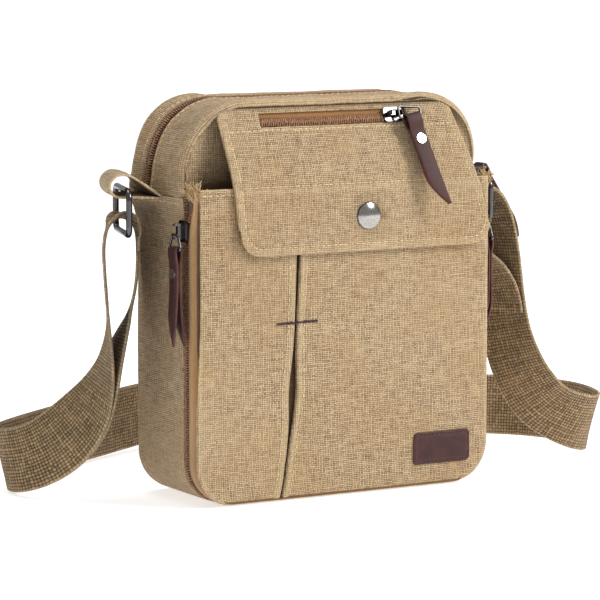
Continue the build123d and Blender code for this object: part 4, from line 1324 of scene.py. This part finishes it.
def make_snap_rim():
    """A thin ring round the snap's cap."""
    low, high = mm_box("snap_cap")
    centre = Vector(((low[0] + high[0]) / 2, high[1] - 0.1, (low[2] + high[2]) / 2))
    mesh = bmesh.new()
    sections = []
    for angle in spread(0, 2 * math.pi, math.pi / 30)[:-1]:
        section = []
        for k in range(8):
            turn = 2 * math.pi * k / 8
            radius = SNAP_RIM_RADIUS + SNAP_RIM_WIRE * math.cos(turn)
            x, z = radius * math.cos(angle), radius * math.sin(angle)
            section.append(mesh.verts.new(centre + Vector((x, SNAP_RIM_WIRE * math.sin(turn), z))))
        sections.append(section)
    skin(mesh, sections, closed=True)
    finish_piece("snap_rim", mesh, "gunmetal", "flap")


# ---------------------------------------------------------------- ring tabs
RING_TAB_HALF = 17.5
RING_BAR_RADIUS = 1.9
LOOSE_LOOP = [
    *[(17.5, -3.2), (13, 1.2), (7, 6.8), (0, 10.5), (-6.5, 10), (-11, 6)],
    *[(-11, 0), (-7, -4.4), (0, -4.6), (8, -4.5), (17.5, -5.4)],
]


def loose_profile():
    """The left tab's side view, in towards the bag and up from the bar: a loop standing off the bar."""
    return [(p.x, p.y) for p in spline_points([Vector((p, q, 0)) for p, q in LOOSE_LOOP], 5)]


def snug_profile(reach, drop):
    """The right tab's side view: close round the bar, both halves falling by drop on their way in."""
    outer = RING_BAR_RADIUS + 0.4 + CLOTH
    upper = []
    for t in spread(1, 0.0, 0.09):
        upper.append((reach * t, CLOTH * 1.05 + (outer - CLOTH) * smoothstep(1 - t * 1.2) - drop * t))
    angles = spread(math.pi / 2, 3 * math.pi / 2, math.pi / 10)
    turn = [(outer * math.cos(angle), outer * math.sin(angle)) for angle in angles]
    lower = [(x, 2 * (-drop * x / reach) - z) for x, z in reversed(upper)]
    return upper[:-1] + turn + lower[1:]


def make_ring_tab(side, name, ring_top, twist):
    """A strip of canvas folded round the ring's top bar, its two ends sewn in at the bag's side."""
    top = Vector(ring_top)
    bar = Vector((math.sin(math.radians(twist)), math.cos(math.radians(twist)), 0))
    inward = Vector((-side, 0, 0))
    inward = (inward - bar * inward.dot(bar)).normalized()
    reach = (abs(top.x) - BAG_HALF) + 3.0
    profile = loose_profile() if side < 0 else snug_profile(reach, (top.z - 180) * reach / 23)
    grid, uv, wear = [], [], []
    run = 0.0
    before = None
    for p, q in profile:
        if before:
            run += math.hypot(p - before[0], q - before[1])
        before = (p, q)
        square = smoothstep((p - 4) / (reach - 4))
        line, marks, rubs = [], [], []
        for w in edged(-RING_TAB_HALF, RING_TAB_HALF, 2.5):
            across = bar.lerp(Vector((0, 1, 0)), square).normalized()
            spot = top + inward * p + across * w + Vector((0, 0, q))
            spot.z += 0.5 * ripple(p, w, side * 9, 9) - 0.012 * abs(w) * (p < 0)
            line.append(spot)
            marks.append((w, run))
            rubs.append(0.5 * math.exp(-(RING_TAB_HALF - abs(w)) / 1.2) + 0.25 * (p < -1))
        grid.append(line)
        uv.append(marks)
        wear.append(rubs)
    tab, centre = f"ring_tab_{name}", top + inward * 2
    cloth(f"{tab}_cloth", grid, CLOTH, "canvas", "bag", [tab], uv, wear, None, None, centre)


# ---------------------------------------------------------------- leather pulls
PULL_LENGTH = 57.0
PULL_HALF = 5.2
PULL_LEATHER = 1.5
PULL_SEWN = 18
KNIFE_START = 38.0


def pull_leaf(mesh, layer, origin, across, down, face, splay, eye):
    """One leaf of a leather pull, from the fold round the link down to its knife tip."""
    half = PULL_LEATHER / 2
    arc = eye + half
    path = [(-arc * math.cos(a), arc * math.sin(a)) for a in spread(0, math.pi * 0.45, math.pi / 12)]
    for d in spread(3, PULL_LENGTH, 1.2):
        settle = smoothstep((d - 2) / 8)
        height = arc * (1 - settle) + (half + 0.08) * settle
        free = max(0.0, (d - PULL_SEWN) / (PULL_LENGTH - PULL_SEWN))
        path.append((d, height + splay * free**1.6))
    rings = []
    for d, height in path:
        cut = max(0.0, (d - KNIFE_START) / (PULL_LENGTH - KNIFE_START))
        left = -PULL_HALF + (2 * PULL_HALF - 1.0) * cut**1.5
        inset = min(1.0, (PULL_HALF - left) * 0.3)
        upper = [
            (left + 0.25, 0.75, 0.7),
            (left + inset, 1, 0.1),
            ((left + PULL_HALF) / 2, 1.04, 0),
            (PULL_HALF - inset, 1, 0.1),
            (PULL_HALF - 0.25, 0.75, 0.7),
        ]
        lower = [(x, max(-y, -1.0), rub) for x, y, rub in reversed(upper)]
        ring = []
        for x, y, rub in [(left, 0, 1), *upper, (PULL_HALF, 0, 1), *lower]:
            vertex = mesh.verts.new(origin + down * d + across * x + face * (height + half * y))
            vertex[layer] = rub * 0.8
            ring.append(vertex)
        rings.append(ring)
    skin(mesh, rings)


def make_pull(name, across, down, splay_front, splay_back, eye=1.15):
    """A leather strip folded round its link: two leaves, each standing off the other by its splay."""
    origin = Vector(joints[f"{name}_tab_swing"]["pos_m"]) / MM
    down = Vector(down).normalized()
    across = Vector(across).normalized()
    normal = across.cross(-down)
    mesh = bmesh.new()
    layer = mesh.verts.layers.float.new("wear")
    pull_leaf(mesh, layer, origin, across, down, normal, splay_front, eye)
    pull_leaf(mesh, layer, origin, across, down, -normal, splay_back, eye)
    finish_piece(f"{name}_pull", mesh, "leather", f"{name}_tab", [f"{name}_zip_tab"])


# ---------------------------------------------------------------- shoulder strap
UPRIGHT = (0, 0, 1)
LEFT_ROUTE = [
    ((-0.024, 0.177, 0.0234), UPRIGHT),
    ((-0.054, 0.166, 0.0214), (0, 0.1, 1)),
    ((-0.088, 0.147, 0.0206), (0, 0.1, 1)),
    ((-0.122, 0.125, 0.0205), (0, 0.1, 1)),
    ((-0.150, 0.105, 0.0205), (-0.05, 0.1, 1)),
    ((-0.172, 0.086, 0.0205), (-0.14, 0.15, 1)),
    ((-0.179, 0.065, 0.0207), (-0.2, 0.25, 0.95)),
    ((-0.169, 0.047, 0.025), (-0.2, 0.25, 0.93)),
    ((-0.156, 0.034, 0.036), (-0.14, 0.36, 0.92)),
    ((-0.143, 0.023, 0.054), (0, 0.62, 0.78)),
    ((-0.135, 0.017, 0.075), (0.22, 0.86, 0.45)),
]
THREAD_LEFT = [
    ((0, 0.1865, 0.024), UPRIGHT),
    ((-0.005, 0.1865, 0.024), UPRIGHT),
    ((-0.0086, 0.1816, 0.024), UPRIGHT),
    ((-0.0124, 0.1777, 0.024), UPRIGHT),
]
ADJUSTER_WRAP = [
    ((-0.0015, 0.1842, 0.024), UPRIGHT),
    ((0.0042, 0.1846, 0.024), UPRIGHT),
    ((0.0042, 0.1781, 0.024), UPRIGHT),
    ((-0.002, 0.1782, 0.024), UPRIGHT),
    ((-0.011, 0.1755, 0.024), UPRIGHT),
]
ACROSS_LEFT = (0.45, 0.885, -0.12)
LEFT_ARCH = [
    ((-0.133, 0.016, 0.095), (0.36, 0.9, 0.2)),
    ((-0.1335, 0.016, 0.114), ACROSS_LEFT),
    ((-0.1355, 0.016, 0.136), ACROSS_LEFT),
    ((-0.1365, 0.016, 0.154), ACROSS_LEFT),
    ((-0.134, 0.016, 0.166), ACROSS_LEFT),
    ((-0.125, 0.016, 0.1725), ACROSS_LEFT),
    ((-0.1165, 0.016, 0.167), ACROSS_LEFT),
    ((-0.1136, 0.016, 0.160), ACROSS_LEFT),
    ((-0.1136, 0.016, 0.152), ACROSS_LEFT),
]
LEFT_INNER_LEG = [
    ((-0.126, 0.016, 0.098), (0.36, 0.9, 0.2)),
    ((-0.118, 0.016, 0.115), ACROSS_LEFT),
    ((-0.1136, 0.016, 0.134), ACROSS_LEFT),
    ((-0.1136, 0.016, 0.1517), ACROSS_LEFT),
]
ACROSS_RIGHT = (0.34, -0.94, 0)
RIGHT_ROUTE = [
    ((0, 0.1865, 0.024), UPRIGHT),
    ((0.005, 0.1865, 0.024), UPRIGHT),
    ((0.0086, 0.1818, 0.024), UPRIGHT),
    ((0.0122, 0.1768, 0.024), UPRIGHT),
    ((0.026, 0.1788, 0.0234), UPRIGHT),
    ((0.058, 0.1765, 0.0214), UPRIGHT),
    ((0.100, 0.165, 0.0206), UPRIGHT),
    ((0.143, 0.146, 0.0205), UPRIGHT),
    ((0.180, 0.122, 0.0205), (0.05, 0, 1)),
    ((0.206, 0.101, 0.0205), (0.15, 0, 1)),
    ((0.223, 0.076, 0.0205), (0.25, -0.05, 1)),
    ((0.228, 0.045, 0.0205), (0.16, -0.06, 1)),
    ((0.219, 0.014, 0.0205), (0.1, -0.2, 0.98)),
    ((0.201, 0.003, 0.0225), (0.2, -0.42, 0.9)),
    ((0.177, 0.006, 0.032), (0.15, -0.6, 0.79)),
    ((0.161, 0.008, 0.050), (0.13, -0.62, 0.77)),
    ((0.1505, 0.011, 0.074), (0.2, -0.75, 0.6)),
    ((0.146, 0.015, 0.100), (0.3, -0.93, 0.2)),
    ((0.1425, 0.015, 0.126), ACROSS_RIGHT),
    ((0.1385, 0.015, 0.150), ACROSS_RIGHT),
    ((0.133, 0.015, 0.167), ACROSS_RIGHT),
    ((0.123, 0.015, 0.1785), ACROSS_RIGHT),
    ((0.113, 0.015, 0.1715), ACROSS_RIGHT),
    ((0.110, 0.015, 0.157), ACROSS_RIGHT),
    ((0.115, 0.015, 0.140), ACROSS_RIGHT),
    ((0.132, 0.015, 0.127), ACROSS_RIGHT),
    ((0.142, 0.015, 0.109), (0.32, -0.94, 0.1)),
    ((0.1437, 0.015, 0.097), (0.3, -0.93, 0.2)),
]
LAYER_OFFSET = 0.0013
WEBBING_WIDTH = 0.040
WEBBING = 0.0018


def beside(route, distance):
    """The same route, for a layer of webbing that lies beside it, square to its face."""
    moved = []
    for i, (centre, across) in enumerate(route):
        tangent = Vector(route[min(i + 1, len(route) - 1)][0]) - Vector(route[max(i - 1, 0)][0])
        face = tangent.cross(Vector(across)).normalized()
        moved.append((tuple(Vector(centre) + face * distance), across))
    return moved


def spline_points(values, steps=7):
    """Points along the NURBS spline whose control points are values."""
    curve = bpy.data.curves.new("route", "CURVE")
    curve.dimensions = "3D"
    curve.resolution_u = steps
    spline = curve.splines.new("NURBS")
    spline.points.add(len(values) - 1)
    for point, value in zip(spline.points, values):
        point.co = (*value, 1)
    spline.order_u = 3
    spline.use_endpoint_u = True
    holder = bpy.data.objects.new("route", curve)
    bpy.context.collection.objects.link(holder)
    bpy.context.view_layer.update()
    line = bpy.data.meshes.new_from_object(holder)
    points = [vertex.co.copy() for vertex in line.vertices]
    bpy.data.objects.remove(holder)
    bpy.data.curves.remove(curve)
    bpy.data.meshes.remove(line)
    return points


UNDERSIDE_SHIFT = 60


def make_strap(name, route, replaced):
    """A free run of webbing along a route, flat across the direction that each point gives."""
    centres = spline_points([centre for centre, _ in route])
    turns = spline_points([across for _, across in route])
    mesh = bmesh.new()
    uv_layer = mesh.loops.layers.uv.new("cloth")
    wear_layer = mesh.verts.layers.float.new("wear")
    mesh.verts.layers.float.new("shade")
    half = WEBBING_WIDTH / MM / 2
    thick = WEBBING / MM / 2
    widths = spread(-half + 0.5, half - 0.5, 1.5)
    section = [(-half, 0), *[(w, thick) for w in widths], (half, 0), *[(w, -thick) for w in reversed(widths)]]
    rings, places = [], {}
    run = 0.0
    for i, centre in enumerate(centres):
        ahead = (centres[min(i + 1, len(centres) - 1)] - centres[max(i - 1, 0)]).normalized()
        wide = (turns[i] - ahead * turns[i].dot(ahead)).normalized()
        face = ahead.cross(wide)
        if i:
            run += (centre - centres[i - 1]).length / MM
        ring = []
        for w, h in section:
            curl = 0.25 * ripple(run, w, len(route), 16)
            spot = centre / MM + wide * w + face * (h + curl)
            vertex = mesh.verts.new(spot)
            vertex[wear_layer] = 0.55 * math.exp(-(half - abs(w)) / 0.9)
            places[vertex] = (w + (UNDERSIDE_SHIFT if h < 0 else 0), run)
            ring.append(vertex)
        rings.append(ring)
    skin(mesh, rings)
    for face in mesh.faces:
        lean = sum(places[v][0] for v in face.verts) / len(face.verts) > half + 3
        for loop in face.loops:
            u, v = places[loop.vert]
            if lean and u < half + 1:
                u += UNDERSIDE_SHIFT
            loop[uv_layer].uv = (u * MM, v * MM)
    piece = finish_piece(name, mesh, "webbing", "bag", replaced)


# ---------------------------------------------------------------- studio
def add_light(name, location, size, energy, colour=(1, 1, 1)):
    """A round lamp that points at the bag."""
    data = bpy.data.lights.new(name, "AREA")
    data.shape = "DISK"
    data.size = size
    data.energy = energy
    data.color = colour
    light = bpy.data.objects.new(name, data)
    light.location = location
    light.rotation_mode = "QUATERNION"
    light.rotation_quaternion = (Vector((0, 0, 0.1)) - Vector(location)).to_track_quat("-Z", "Y")
    bpy.context.collection.objects.link(light)


WHITE = (1, 1, 1, 1)
FLOOR_HALF = 3.0
FLOOR_Z = -0.0004
DOME_RADIUS = 13


def glowing(name, strength, roughness=0.8):
    """A material that gives off white light."""
    g = Graph(name, roughness=roughness)
    g.shader.inputs["Emission Color"].default_value = WHITE
    g.shader.inputs["Emission Strength"].default_value = strength
    return g


def add_stage(name, data, graph):
    """A mesh that belongs to the studio."""
    data.materials.append(graph.material)
    item = bpy.data.objects.new(name, data)
    bpy.context.collection.objects.link(item)
    return item


def make_studio():
    """A white floor inside a white dome that lights nothing, and two lamps."""
    paper = glowing("floor", 0.6, 0.9)
    paper.shader.inputs["Specular IOR Level"].default_value = 0.1
    tone = paper.noise(paper.place(), 3.0)
    paper.finish(paper.mix(tone, (0.86, 0.86, 0.86, 1), (0.9, 0.9, 0.9, 1)))
    data = bpy.data.meshes.new("floor")
    corners = [(x * FLOOR_HALF, y * FLOOR_HALF, 0) for x, y in ((-1, -1), (1, -1), (1, 1), (-1, 1))]
    data.from_pydata(corners, [], [(0, 1, 2, 3)])
    add_stage("floor", data, paper).location.z = FLOOR_Z
    mesh = bmesh.new()
    bmesh.ops.create_icosphere(mesh, subdivisions=4, radius=DOME_RADIUS)
    data = bpy.data.meshes.new("backdrop")
    mesh.to_mesh(data)
    mesh.free()
    dome = add_stage("backdrop", data, glowing("backdrop", 1.1))
    dome.visible_diffuse = False
    dome.visible_glossy = False
    dome.visible_shadow = False
    world = bpy.data.worlds.new("studio")
    world.use_nodes = True
    world.node_tree.nodes["Background"].inputs["Color"].default_value = WHITE
    world.node_tree.nodes["Background"].inputs["Strength"].default_value = 0.44
    bpy.context.scene.world = world
    bpy.context.scene.view_settings.view_transform = "Standard"
    add_light("key", (1.35, -1.4, 1.5), 0.9, 44, (1, 0.98, 0.95))
    add_light("top", (-0.2, 0.3, 1.9), 1.2, 14)


# ---------------------------------------------------------------- everything
LEFT_RING_TOP = (-123.5, 16, 188)
RIGHT_RING_TOP = (123, 16, 184)

make_strap("webbing_right", RIGHT_ROUTE, ["strap_right_run"])
make_strap(
    "webbing_left_outer",
    THREAD_LEFT + beside(LEFT_ROUTE, LAYER_OFFSET) + LEFT_ARCH,
    ["strap_left_outer"],
)
make_strap(
    "webbing_left_return",
    ADJUSTER_WRAP + beside(LEFT_ROUTE, -LAYER_OFFSET) + LEFT_INNER_LEG,
    ["strap_left_return"],
)
make_lower_gusset()
make_upper_gusset(True)
make_upper_gusset(False)
make_main_zip()
make_body_panel(False)
make_body_panel(True)
make_lining()
make_pocket_panels()
make_pleat()
make_bar_tack()
make_label()
make_pocket_side()
make_pocket_coils()
make_frayed_threads()
make_flap()
make_flap_stitches()
make_flap_zip()
make_snap_rim()
make_ring_tab(-1, "left", LEFT_RING_TOP, 17)
make_ring_tab(1, "right", RIGHT_RING_TOP, 0)

DOWN = (0, 0, -1)
make_pull("left", (0, -1, 0), DOWN, 2.9, 2.6)
make_pull("right", (0, 1, 0), DOWN, 1.2, 1.0)
make_pull("main", (0, 1, 0), (0.551, 0, -0.835), 0.5, 0.2)
flap_across = -Vector(joints["flap_tab_swing"]["axis"]).normalized()
flap_face = Vector(joints["flap_link_swing"]["axis"]).cross(Vector((1, 0, 0))).normalized()
if flap_face.y > 0:
    flap_face = -flap_face
make_pull("flap", flap_across, flap_across.cross(flap_face), 0.3, 0.1, 2.1)

ZIPS = ("left", "right", "main", "flap")
CARRIED = {
    "gunmetal": ["ring_left", "ring_right", "strap_adjuster", "snap_socket", "snap_stud"],
    "chrome": [f"{zip_name}_zip_rivet" for zip_name in ZIPS],
    "nickel": ["snap_cap"],
}
CARRIED["gunmetal"] += [f"{zip_name}_zip_{part}" for zip_name in ZIPS for part in ("slider", "link")]
for material_name, nodes in CARRIED.items():
    for node in nodes:
        for material_slot in frame["nodes"][node].material_slots:
            material_slot.material = MATERIALS[material_name]

make_studio()
